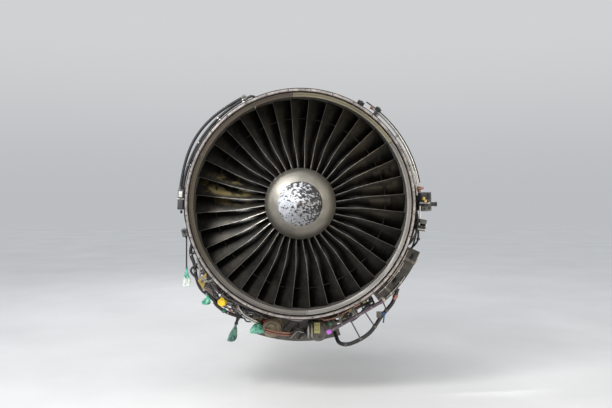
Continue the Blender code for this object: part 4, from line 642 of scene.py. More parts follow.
floor_paint = material("floor_paint", (0.60, 0.605, 0.61), 0.65, 0.0, vary=0.03, scale=0.7, grain=0.03)
shape = bmesh.new()
bmesh.ops.create_grid(shape, x_segments=24, y_segments=24, size=26.0)
floor_mesh = bpy.data.meshes.new("floor")
shape.to_mesh(floor_mesh)
shape.free()
floor_mesh.materials.append(floor_paint)
floor = bpy.data.objects.new("floor", floor_mesh)
floor.location = (0.0, 0.0, -2.05)
bpy.context.scene.collection.objects.link(floor)

world = bpy.data.worlds.new("surround")
bpy.context.scene.world = world
world.use_nodes = True
tree = world.node_tree
height = parts_of(tree, added(tree, "TexCoord").outputs["Generated"])["Z"]
surround = ramp(tree, stepped(tree, height, -1.0, 1.0), (0.0, (0.17, 0.15, 0.11)), (1.0, (0.92, 0.95, 1.0)),
                (0.5, (0.33, 0.315, 0.285)))
backdrop = mixed(tree, stepped(tree, height, 0.0, 0.26), (0.50, 0.515, 0.535), (0.63, 0.64, 0.65))
seen = mixed(tree, added(tree, "LightPath").outputs["Is Camera Ray"], surround, backdrop)
put(tree, tree.nodes["Background"].inputs["Color"], seen)
tree.nodes["Background"].inputs["Strength"].default_value = 1.0


def hang_lamp(data, place, aim, power, colour):
    """Hangs a lamp at a place and turns it to what it lights."""
    data.energy = power
    data.color = colour
    made = bpy.data.objects.new(data.name, data)
    made.location = place
    made.rotation_euler = (Vector(aim) - Vector(place)).to_track_quat("-Z", "Y").to_euler()
    bpy.context.scene.collection.objects.link(made)


def lamp(name, place, aim, size, power, colour):
    data = bpy.data.lights.new(name, "AREA")
    data.shape = "RECTANGLE"
    data.size, data.size_y = size
    hang_lamp(data, place, aim, power, colour)


lamp("upper_left_lamp", (-3.2, -4.6, 3.2), (0.0, -0.6, -0.5), (2.4, 1.2), 215.0, (1.0, 0.98, 0.95))
spot = bpy.data.lights.new("spinner_lamp", "SPOT")
spot.spot_size = math.radians(8.5)
spot.spot_blend = 0.7
spot.shadow_soft_size = 0.16
hang_lamp(spot, (-2.9, -2.0, 2.3), (0.0, -1.02, -0.50), 900.0, (1.0, 0.99, 0.98))
lamp("ceiling_strip_lamp", (-2.3, -3.4, 2.7), (0.0, -1.0, -0.45), (1.0, 0.7), 100.0, (1.0, 0.99, 0.97))
lamp("floor_glow_lamp", (2.1, -3.9, -1.75), (0.05, -1.0, -0.5), (1.8, 0.9), 26.0, (1.0, 0.80, 0.54))
lamp("right_lamp", (4.5, -2.6, 1.6), (0.0, 0.0, -0.5), (1.6, 2.4), 80.0, (1.0, 0.93, 0.82))
lamp("rear_lamp", (-2.5, 5.5, 3.2), (0.0, 1.0, -0.5), (2.4, 1.6), 110.0, (1.0, 0.98, 0.96))


# Hanging lead with its film pouch

LEAD_WIDTH = 0.012
BRACKET_CLOCK, BRACKET_REACH, BRACKET_STATION = 256.0, 0.9625, 0.18   # middle of the connector bracket
BRACKET_HALF = 0.0303                       # from there to the face that the lead leaves
lead_out = at_clock(BRACKET_CLOCK - math.degrees(BRACKET_HALF / BRACKET_REACH), BRACKET_REACH, BRACKET_STATION)
lead_bend = lead_out + at_clock(166.0, 0.018, 0.0)
lead_points = smooth_line([lead_out, lead_bend, lead_bend + Vector((0.0, 0.0, -0.035)),
                           lead_bend + Vector((0.0, 0.0, -0.118)), lead_bend + Vector((0.0, 0.0, -0.255))], 26)
lead_length = sum((b - a).length for a, b in zip(lead_points, lead_points[1:]))
lead_curve = bpy.data.curves.new("left_lead_cord", "CURVE")
lead_curve.dimensions = "3D"
spline = lead_curve.splines.new("POLY")
spline.points.add(len(lead_points) - 1)
for point, place in zip(spline.points, lead_points):
    point.co = (*place, 1.0)
lead_curve.bevel_depth = LEAD_WIDTH / 2
lead_curve.bevel_resolution = 4
lead_curve.use_fill_caps = True
lead_curve.materials.append(SLEEVE)
left_lead = bpy.data.objects.new("left_lead_cord", lead_curve)
left_lead.location = ENGINE
bpy.context.scene.collection.objects.link(left_lead)
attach(left_lead, "engine")
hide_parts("left_lead")


FILM_TWIST = 0.6             # how far a bag turns from top to foot, in radians


def bag(name, foot, top, width, depth, film, neck, seed):
    """A crumpled film bag tied at the top: a thin neck that swells into a folded pouch."""
    foot, top = Vector(foot), Vector(top)
    luck = random.Random(seed)
    shape = bmesh.new()
    rings = []
    rows, sides = 22, 28
    waves = [(luck.uniform(0.0, 6.3), luck.choice((3, 4, 5, 7)), luck.uniform(0.05, 0.13)) for _ in range(5)]
    for row in range(rows + 1):
        share = row / rows
        if share < neck:
            swell = 0.22 + 0.16 * abs(math.sin(share / neck * 6.0))
        else:
            t = (share - neck) / (1.0 - neck)
            swell = 0.22 + 0.78 * math.sin(min(1.0, t * 1.35) * math.pi / 2) ** 0.8
            swell *= 1.0 if t < 0.86 else math.sqrt(max(0.02, 1.0 - ((t - 0.86) / 0.14) ** 2))
        centre = top.lerp(foot, share)
        ring = []
        for side in range(sides):
            angle = 2 * math.pi * side / sides
            fold = 1.0 + sum(size * math.sin(count * angle + phase + share * 5.0 * (index - 2))
                             for index, (phase, count, size) in enumerate(waves))
            a = angle + FILM_TWIST * share
            ring.append(shape.verts.new(centre + Vector((
                width / 2 * swell * fold * math.cos(a), depth / 2 * swell * fold * math.sin(a), 0.0))))
        rings.append(ring)
    for above, below in zip(rings, rings[1:]):
        for side in range(sides):
            shape.faces.new((above[side], above[(side + 1) % sides], below[(side + 1) % sides], below[side]))
    shape.faces.new(rings[0])
    shape.faces.new(rings[-1])
    return from_shape(name, shape, film, sharp=60.0)


pouch_top = lead_bend + Vector((0.0, 0.0, -0.2353))
lead_pouch = bag("lead_pouch_film", pouch_top + Vector((0.0, 0.0, -0.163)), pouch_top, 0.054, 0.036, PALE_FILM,
                 neck=0.16, seed=5)
lead_pouch.data.materials.append(GREEN_FILM)
for polygon in lead_pouch.data.polygons:
    polygon.material_index = 1 if polygon.center.z > pouch_top.z - 0.085 + 0.004 * math.sin(
        polygon.center.x * 900.0) else 0
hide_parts("lead_pouch")


# Fan: smooth blades with mid-span wings on a solid hub

BLADE_ROWS = (0.284, 0.49406, 0.705, 0.8675)
STAGGERS = (17.0, 36.0, 52.25, 60.0)
CAMBERS = (0.12, 0.085, 0.05, 0.03)
THICKNESSES = (0.10, 0.065, 0.042, 0.032)
LEANS = (1.0, -0.4, 0.0, 0.0)
BLADE_COUNT = 36
BLADE_FIRST = 9.6
BLADE_MIDDLE = 0.313


def eased(places, values, place):
    """Value of a smooth curve through a table."""
    last = len(places) - 1
    slopes = [(values[min(i + 1, last)] - values[max(i - 1, 0)]) / (places[min(i + 1, last)] - places[max(i - 1, 0)])
              for i in range(last + 1)]
    span = max(0, min(last - 1, sum(1 for known in places if known <= place) - 1))
    reach = places[span + 1] - places[span]
    t = (place - places[span]) / reach
    return ((2 * t ** 3 - 3 * t ** 2 + 1) * values[span] + (t ** 3 - 2 * t ** 2 + t) * reach * slopes[span]
            + (3 * t ** 2 - 2 * t ** 3) * values[span + 1] + (t ** 3 - t ** 2) * reach * slopes[span + 1])


def blade_point(radius, share, side, clock):
    """Point on a blade: share runs back along the chord, side is +1 or -1 for its two faces."""
    span = (radius - BLADE_ROWS[0]) / (BLADE_ROWS[-1] - BLADE_ROWS[0])
    chord = along(0.135, 0.172, span)
    stagger = math.radians(eased(BLADE_ROWS, STAGGERS, radius))
    camber = eased(BLADE_ROWS, CAMBERS, radius)
    thick = eased(BLADE_ROWS, THICKNESSES, radius)
    lean = eased(BLADE_ROWS, LEANS, radius)
    form = max(0.0, math.sin(math.pi * share ** 0.85)) ** 0.72
    rise = chord * (4 * camber * share * (1 - share) + side * form * thick / 2)
    back = (share - 0.5) * chord
    aft = back * math.cos(stagger) - rise * math.sin(stagger)
    swing = back * math.sin(stagger) + rise * math.cos(stagger)
    return at_clock(clock + lean + math.degrees(swing / radius), radius, BLADE_MIDDLE + aft)


shape = bmesh.new()
layer = shape.loops.layers.uv.verify()
PLACES = [(1 - math.cos(math.pi * index / 11)) / 2 for index in range(12)]
SECTION = [(place, 1.0) for place in PLACES] + [(place, -1.0) for place in PLACES[-2:0:-1]]
SPAN_ROWS = [along(BLADE_ROWS[0], FAN_TIP, (index / 17) ** 0.92) for index in range(18)]
WING_REACH, WING_GAP = 0.705, 0.0004        # the mid-span wings, and half the gap between two of them
wing = rounded([(0.288, 0.7025), (0.296, 0.7005), (0.330, 0.7005), (0.338, 0.7040), (0.330, 0.7095),
                (0.296, 0.7095)], 0.002)
half_wing = 180.0 / BLADE_COUNT - math.degrees(WING_GAP / WING_REACH)
for blade in range(BLADE_COUNT):
    clock = BLADE_FIRST + 360.0 / BLADE_COUNT * blade
    rings = [[shape.verts.new(blade_point(radius, share, side, clock)) for share, side in SECTION]
             for radius in SPAN_ROWS]
    for row in range(len(rings) - 1):
        for index in range(len(SECTION)):
            following = (index + 1) % len(SECTION)
            face = shape.faces.new(
                (rings[row][index], rings[row][following], rings[row + 1][following], rings[row + 1][index]))
            corners = ((index, row), (following, row), (following, row + 1), (index, row + 1))
            for loop, (place, level) in zip(face.loops, corners):
                loop[layer].uv = (SECTION[place][0], level / (len(rings) - 1))
    face = shape.faces.new(rings[-1])
    for loop in face.loops:
        loop[layer].uv = (0.5, 1.0)
    lathe_into(shape, wing, 6, from_clock=clock - half_wing, sweep=2 * half_wing, slots=[1] * len(wing))
hub = rounded([(0.375, 0.02), (0.375, 0.165), (0.45, 0.29), (0.47, 0.29), (0.47, 0.318), (0.235, 0.29),
               (0.235, 0.02)], 0.003, closed=False)
lathe_into(shape, hub, 108, closed=False, slots=[2] * len(hub))
# Near-black like the blade faces: painted shade.
WING = material("wing_metal", (0.045, 0.042, 0.037), 0.42, 0.7, vary=0.2, scale=30.0, grain=0.08)
HUB = material("hub_metal", (0.20, 0.19, 0.17), 0.42, 0.8, vary=0.15, scale=16.0)
fan = from_shape("fan_with_blades", shape, (BLADE, WING, HUB), "lp_spool", sharp=48.0)
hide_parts("fan_rotor")


# Spinner

def spinner_radius(station):
    return 0.29 * (1.0 - max(0.0, (0.235 - station) / 0.36) ** 1.30) ** 0.87


def spinner_outline(front, rear, count):
    stations = [along(front, rear, (index / count) ** (1.5 if front < -0.1 else 1.0)) for index in range(count + 1)]
    outline = [(rear, 0.004), (rear, spinner_radius(rear) - 0.004)]
    outline += [(station, spinner_radius(station)) for station in reversed(stations)]
    return outline


front_cone = lathe("spinner_front", spinner_outline(-0.125, 0.0447, 30), CHIPPED, 120, closed=False, edge=0.0,
                   body="lp_spool", sharp=50.0)
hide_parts("spinner_front_cone")
rear_outline = spinner_outline(0.0453, 0.2347, 22)
rear_outline += [(0.0453, spinner_radius(0.0453) - 0.004), (0.0453, 0.004)]
rear_cone = lathe("spinner_rear", rear_outline, SPINNER, 144, closed=False, edge=0.0, body="lp_spool", sharp=50.0)
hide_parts("spinner_rear_cone")


def spinner_normal(clock, station):
    slope = (spinner_radius(station + 0.002) - spinner_radius(station - 0.002)) / 0.004
    return (outward(clock) - Vector((0.0, slope, 0.0))).normalized()


def spinner_places(station, count, first):
    return [(at_clock(first + 360.0 / count * index, spinner_radius(station) - 0.0006, station),
             spinner_normal(first + 360.0 / count * index, station)) for index in range(count)]


shape = bmesh.new()
for place, direction in spinner_places(0.0255, 12, 29.0):
    drum_into(shape, [(0.0, 0.0062), (0.0009, 0.0062), (0.0014, 0.0052)], pointing(place, direction), 16)
weld(shape)
from_shape("spinner_screw_rings", shape, PALE, "lp_spool")
shape = bmesh.new()
for place, direction in spinner_places(0.0255, 12, 29.0):
    drum_into(shape, [(0.0, 0.0042), (0.0019, 0.0042), (0.0024, 0.0034), (0.0016, 0.0012)],
              pointing(place, direction), 12)
weld(shape)
from_shape("spinner_screws", shape, BLACK, "lp_spool")
bolts("spinner_rear_screws", spinner_places(0.222, 36, 4.6), STEEL, "lp_spool", size=0.0042, height=0.0022)


# Inlet: acoustic panels, seams, screws and the fan case

# Each panel: its own paint, and the paler colour of its painted highlights at the rear edge and front lip.
PANEL_TONES = (
    panel_tone("panel_face_a", (0.64, 0.57, 0.38), (0.90, 0.83, 0.61)),
    panel_tone("panel_face_b", (0.42, 0.40, 0.36), (0.70, 0.67, 0.61)),
    panel_tone("panel_face_c", (0.32, 0.305, 0.28), (0.52, 0.50, 0.47)),
    panel_tone("panel_face_d", (0.19, 0.172, 0.15), (0.32, 0.295, 0.265)),
    panel_tone("panel_face_e", (0.18, 0.155, 0.11), (0.31, 0.27, 0.20)),
    panel_tone("panel_face_f", (0.24, 0.19, 0.145), (0.37, 0.31, 0.25)),
)
PANEL_FACE, SCREW_REACH = 0.871, 0.8712
PANEL_SWEEP = 360.0 / len(PANEL_TONES)
SEAM_CLOCKS = [PANEL_SWEEP * index - 4.0 for index in range(len(PANEL_TONES))]
panel_outline = rounded([
    (0.004, PANEL_FACE), (0.205, PANEL_FACE), (0.205, 0.879), (0.030, 0.879), (0.004, 0.8725)], 0.0008)
panel_gap = math.degrees(0.0006 / PANEL_FACE)
for index, tone in enumerate(PANEL_TONES):
    shape = bmesh.new()
    lathe_into(shape, panel_outline, 36, from_clock=SEAM_CLOCKS[index] + panel_gap, sweep=PANEL_SWEEP - 2 * panel_gap)
    weld(shape)
    piece = from_shape(f"inlet_panel_{index + 1}", shape, tone)
    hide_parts(f"acoustic_panel_{index + 1}")

SEALANT = material("sealant", (0.60, 0.60, 0.55), 0.6, 0.0, vary=0.14, scale=60.0, grain=0.12)
shape = bmesh.new()
dark_shape = bmesh.new()
for clock in SEAM_CLOCKS:
    for offset, target, width in ((0.42, shape, 0.20), (-0.40, shape, 0.10), (0.0, dark_shape, 0.30)):
        lathe_into(target, [(0.0045, 0.8706), (0.2045, 0.8706), (0.2045, 0.8715), (0.0045, 0.8715)], 2,
                   from_clock=clock + offset - width / 2, sweep=width)
from_shape("panel_seam_sealant", shape, SEALANT)
from_shape("panel_seam_gaps", dark_shape, BLACK)
places = []
for seam in SEAM_CLOCKS:
    for offsets, stations in (((-1.3, 1.3), (0.022, 0.066, 0.110, 0.154, 0.194)),
                              ([6.0 * step for step in range(1, 10)], (0.012, 0.197))):
        places += [(at_clock(seam + offset, SCREW_REACH, station), -outward(seam + offset))
                   for offset in offsets for station in stations]
bolts("panel_screws", places, STEEL, size=0.0038, height=0.0013)

ABRADABLE = material("rub_strip", (0.060, 0.058, 0.052), 0.7, 0.0, vary=0.12, scale=18.0, grain=0.12,
                     stain=(0.03, 0.029, 0.027), stain_share=0.4, stretch=(1.0, 3.0, 1.0))
# Near-black and almost without gloss: painted shade in the groove between panels and flange and on the rings over that
# gap; it also draws the dark lines on the flange face.
GROOVE = material("groove_dark", (0.010, 0.010, 0.010), 0.9, 0.0, vary=0.2, scale=30.0)
GROOVE.node_tree.nodes["Principled BSDF"].inputs["Specular IOR Level"].default_value = 0.08
case_outline = rounded([
    (0.0, 0.8793), (0.2053, 0.8793), (0.2053, CASE_BORE), (CASE_LENGTH, CASE_BORE), (CASE_LENGTH, FLANGE_TOP),
    (0.682, FLANGE_TOP), (0.682, CASE_SKIN), (0.46, CASE_SKIN), (0.446, CONTAINMENT), (0.22, CONTAINMENT),
    (0.018, CASE_SKIN), (0.018, 0.908), (0.0, 0.908)], 0.0022)
BORE_LIMIT = 0.8692                         # faces nearer the shaft line than this are the bore
shape = bmesh.new()
lathe_into(shape, case_outline, 180)
weld(shape)
fan_case = from_shape("fan_case", shape, (CASE, FLANGE, ABRADABLE, GROOVE))
for polygon in fan_case.data.polygons:
    centre = polygon.center
    radius = math.hypot(centre.x, centre.z)
    if radius < BORE_LIMIT:
        polygon.material_index = 2 if centre.y < 0.47 else 0
    # The groove between panels and flange: painted shade.
    elif radius < 0.8815 and centre.y < 0.206:
        polygon.material_index = 3
    elif centre.y < 0.02 or centre.y > 0.68:
        polygon.material_index = 1
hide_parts("fan_inlet_case")
# Dark rings on the flange face; the inner one lies over the gap between panels and flange and is painted shade.
for name, low, high in (("flange_edge_line", 0.9030, 0.9079), ("flange_middle_line", 0.8838, 0.8860),
                        ("flange_gap_shade_ring", 0.8704, 0.8820)):
    lathe(name, [(-0.0010, low), (-0.0010, high), (0.0012, high), (0.0012, low)], GROOVE, 180, edge=0.0003)
bolts("front_flange_bolts", ring_of_bolts(-0.0002, 0.8950, 32, -1.0, 95.3), DARK_PAINT, size=0.0052, height=0.004)
bolts("front_flange_nuts", ring_of_bolts(0.0182, 0.8975, 64, 1.0, 95.3), STEEL, size=0.0052, height=0.006)
bolts("rear_flange_bolts", ring_of_bolts(0.6818, 0.912, 72, -1.0, 2.0), STEEL, size=0.0068, height=0.006)
bolts("rear_flange_nuts", ring_of_bolts(0.7186, 0.912, 72, 1.0, 2.0), STEEL, size=0.0068, height=0.007)
bolts("front_edge_rivets",
      [(at_clock(2.8 + 3.0 * step, 0.8883, 0.034), outward(2.8 + 3.0 * step))
       for step in range(120)], STEEL, size=0.0038, height=0.002)

# A near-black ring in the gap between panels and flange: painted shade.
shape = bmesh.new()
lathe_into(shape, rounded([(0.0002, 0.8722), (0.012, 0.8722), (0.012, 0.8812), (0.0002, 0.8812)], 0.0008), 180)
from_shape("inlet_gap_painted_shade", shape, GROOVE)


# Inlet temperature probe

shape = bmesh.new()
PROBE_CLOCK = 335.0
probe = at_clock(PROBE_CLOCK, SCREW_REACH, 0.10)
inward = -outward(PROBE_CLOCK)
drum_into(shape, [(0.0, 0.0175), (0.0035, 0.0175), (0.0045, 0.016)], pointing(probe, inward), 28)
drum_into(shape, [(0.003, 0.009), (0.008, 0.0085), (0.026, 0.0065), (0.030, 0.0050)], pointing(probe, inward), 20)
for step in range(4):
    turn = math.radians(45.0 + 90.0 * step)
    tangent = Vector((0.0, 1.0, 0.0)).cross(inward)
    bolt_into(shape, probe + inward * 0.0040 + 0.0132 * (math.cos(turn) * tangent
              + math.sin(turn) * Vector((0.0, 1.0, 0.0))), inward, 0.0022, 0.0018)
weld(shape)
from_shape("inlet_probe", shape, STEEL)


# Boxes, valve and port on the fan case

def box_piece(name, parts, material, nodes=(), body="engine", bevel=0.004):
    """One mesh of several rounded boxes, each given by its size and matrix."""
    shape = bmesh.new()
    for size, matrix in parts:
        box_into(shape, size, matrix, bevel)
    piece = from_shape(name, shape, material, body, sharp=30.0)
    if nodes:
        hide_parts(*nodes)
    return piece


def shifted(matrix, x=0.0, y=0.0, z=0.0):
    return matrix @ Matrix.Translation((x, y, z))


def drums(name, parts, material, body="engine", steps=24, **more):
    """One mesh of several turned pieces, each a profile and a matrix."""
    shape = bmesh.new()
    for profile, matrix in parts:
        drum_into(shape, profile, matrix, steps)
    weld(shape)
    return from_shape(name, shape, material, body, **more)


def facing(matrix, x, y, z):
    """Matrix of a frame on a face of a box with its Z to the front."""
    return shifted(matrix, x, y, z) @ turned(90.0)


PLUG = [(0.0, 0.010), (0.004, 0.010), (0.004, 0.0085), (0.016, 0.0085), (0.016, 0.0095), (0.022, 0.0095),
        (0.024, 0.008)]


def foot_parts(clock, reach, station):
    """A stand-off foot from the case up to a piece."""
    low = CONTAINMENT - 0.001
    return ((0.03, 0.03, reach - low), placed(clock, (low + reach) / 2, station))


# Engine control unit on the right

UNIT_CLOCK = 89.0
unit = placed(UNIT_CLOCK, 1.0145, 0.28)
box_piece("control_unit_case", [
    ((0.150, 0.260, 0.085), unit),
    ((0.142, 0.006, 0.077), shifted(unit, y=-0.132)),
    foot_parts(UNIT_CLOCK, 0.975, 0.27), *[foot_parts(UNIT_CLOCK + side, 0.978, 0.35) for side in (-3.5, 3.5)],
    *[((0.150, 0.004, 0.006), shifted(unit, y=-0.10 + 0.02 * fin, z=0.0445)) for fin in range(11)],
], DARK_PAINT, ("engine_control_unit",))
drums("control_unit_plugs", [(PLUG, facing(unit, x, -0.134, z)) for x, z in (
    (-0.055, 0.018), (-0.030, 0.020), (0.052, 0.016), (0.030, -0.018), (0.058, -0.020))], BLACK)
drums("control_unit_gold_plugs", [
    ([(0.0, 0.0125), (0.005, 0.0125), (0.005, 0.0105), (0.020, 0.0105), (0.021, 0.009)], facing(unit, x, -0.134, z))
    for x, z in ((-0.005, -0.010), (-0.026, -0.022))], GOLD)
drums("control_unit_cross_tube", [
    ([(0.0, 0.008), (0.004, 0.0095), (0.012, 0.0095), (0.014, 0.0075), (0.066, 0.0075), (0.068, 0.0095),
      (0.080, 0.0095), (0.084, 0.0075)], Matrix.Translation(seen_at(419.5, 203.0, 0.132)) @ turned(90.0, "Y"))], STEEL)
drums("control_unit_stub", [
    ([(0.0, 0.021), (0.006, 0.021), (0.006, 0.017), (0.040, 0.016), (0.042, 0.019), (0.052, 0.018)],
     pointing(at_clock(90.2, 1.0555, 0.19), outward(90.2)))], BLACK)
box_piece("control_unit_lower_block", [
    ((0.058, 0.030, 0.040), Matrix.Translation(seen_at(425.0, 208.8, 0.139)))], GREY_BOX)
bolts("control_unit_screws", [
    ((unit @ Vector((x, -0.1352, z))), (0.0, -1.0, 0.0)) for x in (-0.066, 0.066) for z in (-0.033, 0.033)],
    STEEL, size=0.0045, height=0.003)


# Ignition box below it

IGNITION_CLOCK = 100.0
small = placed(IGNITION_CLOCK, 1.001, 0.22)
box_piece("ignition_box_case", [
    ((0.095, 0.140, 0.058), small), ((0.088, 0.006, 0.050), shifted(small, y=-0.072)),
    foot_parts(IGNITION_CLOCK, 0.975, 0.255)], GREY_BOX, ("ignition_box",))
box_piece("ignition_box_strap", [
    ((0.022, 0.150, 0.066), shifted(small, x=-0.004)), ((0.010, 0.152, 0.068), shifted(small, x=0.034))], PALE)
drums("ignition_box_plugs", [(PLUG, facing(small, x, -0.075, z)) for x, z in ((0.018, 0.010), (0.018, -0.012))], BLACK)


# Sensor box: a dark unit with a pale lid on the left

SENSOR_CLOCK = 272.0
sensor = placed(SENSOR_CLOCK, 0.965, 0.20)
box_piece("sensor_box_case", [
    ((0.163, 0.100, 0.050), sensor), ((0.072, 0.012, 0.042), shifted(sensor, x=-0.038, y=-0.055)),
    ((0.060, 0.012, 0.036), shifted(sensor, x=0.042, y=-0.055)), foot_parts(SENSOR_CLOCK, 0.945, 0.235)],
    DARK_PAINT, ("sensor_box",))
box_piece("sensor_box_lid", [
    ((0.010, 0.104, 0.054), shifted(sensor, x=0.006)), ((0.155, 0.060, 0.005), shifted(sensor, z=0.0265)),
    ((0.048, 0.004, 0.030), shifted(sensor, x=0.042, y=-0.0615))], PALE)
bolts("sensor_box_screws", [((sensor @ Vector((x, -0.0612, z))), (0.0, -1.0, 0.0))
                            for x in (-0.068, -0.008, 0.018, 0.066) for z in (-0.012, 0.012)], DARK_PAINT,
      size=0.0035, height=0.002)
drums("sensor_box_plugs", [
    (PLUG, shifted(sensor, x=-0.088) @ turned(-90.0, "Y")),
    (PLUG, shifted(sensor, x=0.0815, z=0.004) @ turned(90.0, "Y"))], BLACK)


# Connector bracket that carries the hanging lead and the big hose

HOSE_CLOCK = 251.0                          # where the big hose leaves the case
block = placed(BRACKET_CLOCK, BRACKET_REACH, BRACKET_STATION)
box_piece("connector_block", [
    ((0.060, 0.060, 0.045), block), ((0.070, 0.012, 0.052), shifted(block, y=0.022)),
    foot_parts(BRACKET_CLOCK, 0.945, 0.225)], GREY_BOX, ("connector_bracket",))
drums("connector_block_rings", [
    ([(0.0, 0.013), (0.010, 0.013), (0.012, 0.011)], facing(block, 0.010, -0.030, 0.0)),
    ([(0.0, 0.0095), (0.014, 0.0095), (0.016, 0.008)], shifted(block, x=-0.0298) @ turned(-90.0, "Y")),
    ([(0.0, 0.020), (0.012, 0.020), (0.014, 0.017)],
     pointing(at_clock(HOSE_CLOCK, 0.9165, 0.245), outward(HOSE_CLOCK)))], BLACK)


# Air valve with its gold bracket and braided tubes

VALVE_CLOCK = 228.0
valve = to_rear(at_clock(VALVE_CLOCK, 0.975, 0.15))
piece = drums("air_valve_body", [
    ([(0.0, 0.036), (0.004, 0.040), (0.020, 0.041), (0.020, 0.045), (0.030, 0.045), (0.030, 0.039), (0.060, 0.038),
      (0.060, 0.045), (0.070, 0.045), (0.070, 0.040), (0.120, 0.040), (0.120, 0.045), (0.150, 0.045)], valve)],
    CAST, steps=40)
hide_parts("air_valve")
box_piece("air_valve_feet", [
    foot_parts(VALVE_CLOCK, 0.945, 0.2625), ((0.046, 0.03, 0.036), placed(VALVE_CLOCK, 1.02, 0.20))], CAST)
drums("air_valve_face", [
    ([(-0.001, 0.026), (0.006, 0.026), (0.008, 0.018), (0.016, 0.016), (0.018, 0.012)],
     to_front(at_clock(VALVE_CLOCK, 0.975, 0.15))),
    ([(0.0, 0.013), (0.022, 0.013), (0.024, 0.011)], placed(VALVE_CLOCK, 1.037, 0.20))], STEEL)
bolts("air_valve_bolts", bolt_circle(at_clock(VALVE_CLOCK, 0.975, 0.1498), 0.0335, 8, -1.0), STEEL,
      size=0.0042, height=0.004)


def plate(name, corners, hole, thickness, material):
    """A flat plate facing forward with rounded corners and one round hole."""
    station = corners[0].y
    outline = rounded([(corner.x, corner.z) for corner in corners], 0.012, count=5)
    shape = bmesh.new()
    count = len(outline)
    rim = [(hole[0].x + hole[1] * math.cos(math.tau * step / count), hole[0].z + hole[1] * math.sin(
        math.tau * step / count)) for step in range(count)]
    start = max(range(count), key=lambda i: -math.dist(outline[0], rim[i]))
    turning = sum(a[0] * b[1] - b[0] * a[1] for a, b in zip(outline, outline[1:] + outline[:1]))
    way = 1 if turning > 0 else -1
    rim = [rim[(start + way * step) % count] for step in range(count)]
    layers = []
    for level in (station, station + thickness):
        layers.append(([shape.verts.new((x, level, z)) for x, z in outline],
                       [shape.verts.new((x, level, z)) for x, z in rim]))
    for step in range(count):
        following = (step + 1) % count
        for outer, inner in layers:
            shape.faces.new((outer[step], outer[following], inner[following], inner[step]))
        for level in (0, 1):
            near, far = layers[0][level], layers[1][level]
            shape.faces.new((near[step], near[following], far[following], far[step]))
    return from_shape(name, shape, material, sharp=40.0)


PLATE_FRONT = 0.118
plate("gold_bracket", [
    seen_at(pixel_x, pixel_y, PLATE_FRONT) for pixel_x, pixel_y in ((206.8, 272.6), (197.4, 280.2), (203.4, 290.6))],
      (seen_at(202.3, 281.4, PLATE_FRONT), 0.0135), 0.006, GOLD)
drums("gold_bracket_boss", [
    ([(0.0, 0.020), (0.010, 0.020), (0.010, 0.0135), (0.012, 0.0135)],
     to_rear(seen_at(202.3, 281.4, 0.122)))], STEEL)
runs = []
for start in (seen_at(204.6, 275.4, 0.12), seen_at(203.0, 287.6, 0.12)):
    end = at_clock(VALVE_CLOCK, 0.975, 0.19) + (start - at_clock(VALVE_CLOCK, 0.975, 0.12)) * 0.35
    runs.append((smooth_line([start, start + Vector((0.004, 0.03, 0.0)), end], 8), 0.006))
pipes("gold_bracket_rods", runs, STEEL, 10)

PORT_CLOCK = 218.5
port = to_rear(at_clock(PORT_CLOCK, 1.012, 0.16))
piece = drums("air_port_body", [
    ([(0.0, 0.028), (0.010, 0.028), (0.012, 0.024), (0.050, 0.024), (0.052, 0.028), (0.062, 0.028), (0.064, 0.025),
      (0.150, 0.025), (0.152, 0.028), (0.170, 0.028)], port)], CAST, steps=36)
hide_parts("air_port")
box_piece("air_port_foot", [foot_parts(PORT_CLOCK, 0.995, 0.2875)], CAST)
piece = drums("air_port_yellow_cap", [
    ([(0.0, 0.036), (0.006, 0.036), (0.007, 0.033), (0.012, 0.033), (0.013, 0.036), (0.016, 0.036), (0.017, 0.032),
      (0.036, 0.0295), (0.040, 0.026), (0.038, 0.020), (0.034, 0.018)],
     to_front(at_clock(PORT_CLOCK, 1.012, 0.1597)))],
    YELLOW, steps=40)
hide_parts("air_port_cap")


# Harnesses, supply tube and their clamps

def clamps(name, clocks, reach, radius, station, material):
    """Loop clamps on a tube, each on its own foot."""
    shape = bmesh.new()
    for clock in clocks:
        foot = placed(clock, (CONTAINMENT + reach - radius) / 2, station)
        box_into(shape, (0.022, 0.014, reach - radius - CONTAINMENT + 0.004), foot, 0.002)
        pipe_into(shape, [at_clock(clock - 0.35, reach, station), at_clock(clock + 0.35, reach, station)],
                  radius + 0.0018, 20)
    return from_shape(name, shape, material, sharp=40.0)


TUBE_LINE = 0.235                           # station of the tubes round the upper case
INNER_HARNESS, OUTER_HARNESS, SUPPLY = 0.968, 0.98908, 0.979
harness = pipe("harness_inner_sleeve", arc(277.0, 331.0, INNER_HARNESS, TUBE_LINE, 45), 0.012, SLEEVE, sides=14)
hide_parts("harness_inner")
harness = pipe("harness_outer_sleeve", arc(277.0, 331.0, OUTER_HARNESS, TUBE_LINE, 45, 0.024), 0.012, SLEEVE, sides=14)
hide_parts("harness_outer")
clamps("harness_clamps", (289.0, 301.0, 316.0, 331.0), INNER_HARNESS, 0.012, TUBE_LINE, STEEL)
pipes("harness_thin_lines", [
    (arc(282.0, to_clock, 0.930 + abs(offset) * 0.5, TUBE_LINE + 1.4 * offset, 40), radius)
    for offset, radius, to_clock in ((-0.020, 0.0065, 329.0), (0.022, 0.0055, 326.0), (0.040, 0.0050, 312.0))],
    SLEEVE, 10)
shape = bmesh.new()
for clock in (283.0, 331.5):
    for reach in (0.968, 0.989):
        drum_into(shape, [(-0.012, 0.0135), (0.0, 0.0155), (0.020, 0.0155), (0.022, 0.012)],
                  pointing(at_clock(clock - (6.3 if clock < 300 else -0.4), reach, TUBE_LINE),
                           round_case(clock)), 20)
weld(shape)
from_shape("harness_plugs", shape, GEARBOX)
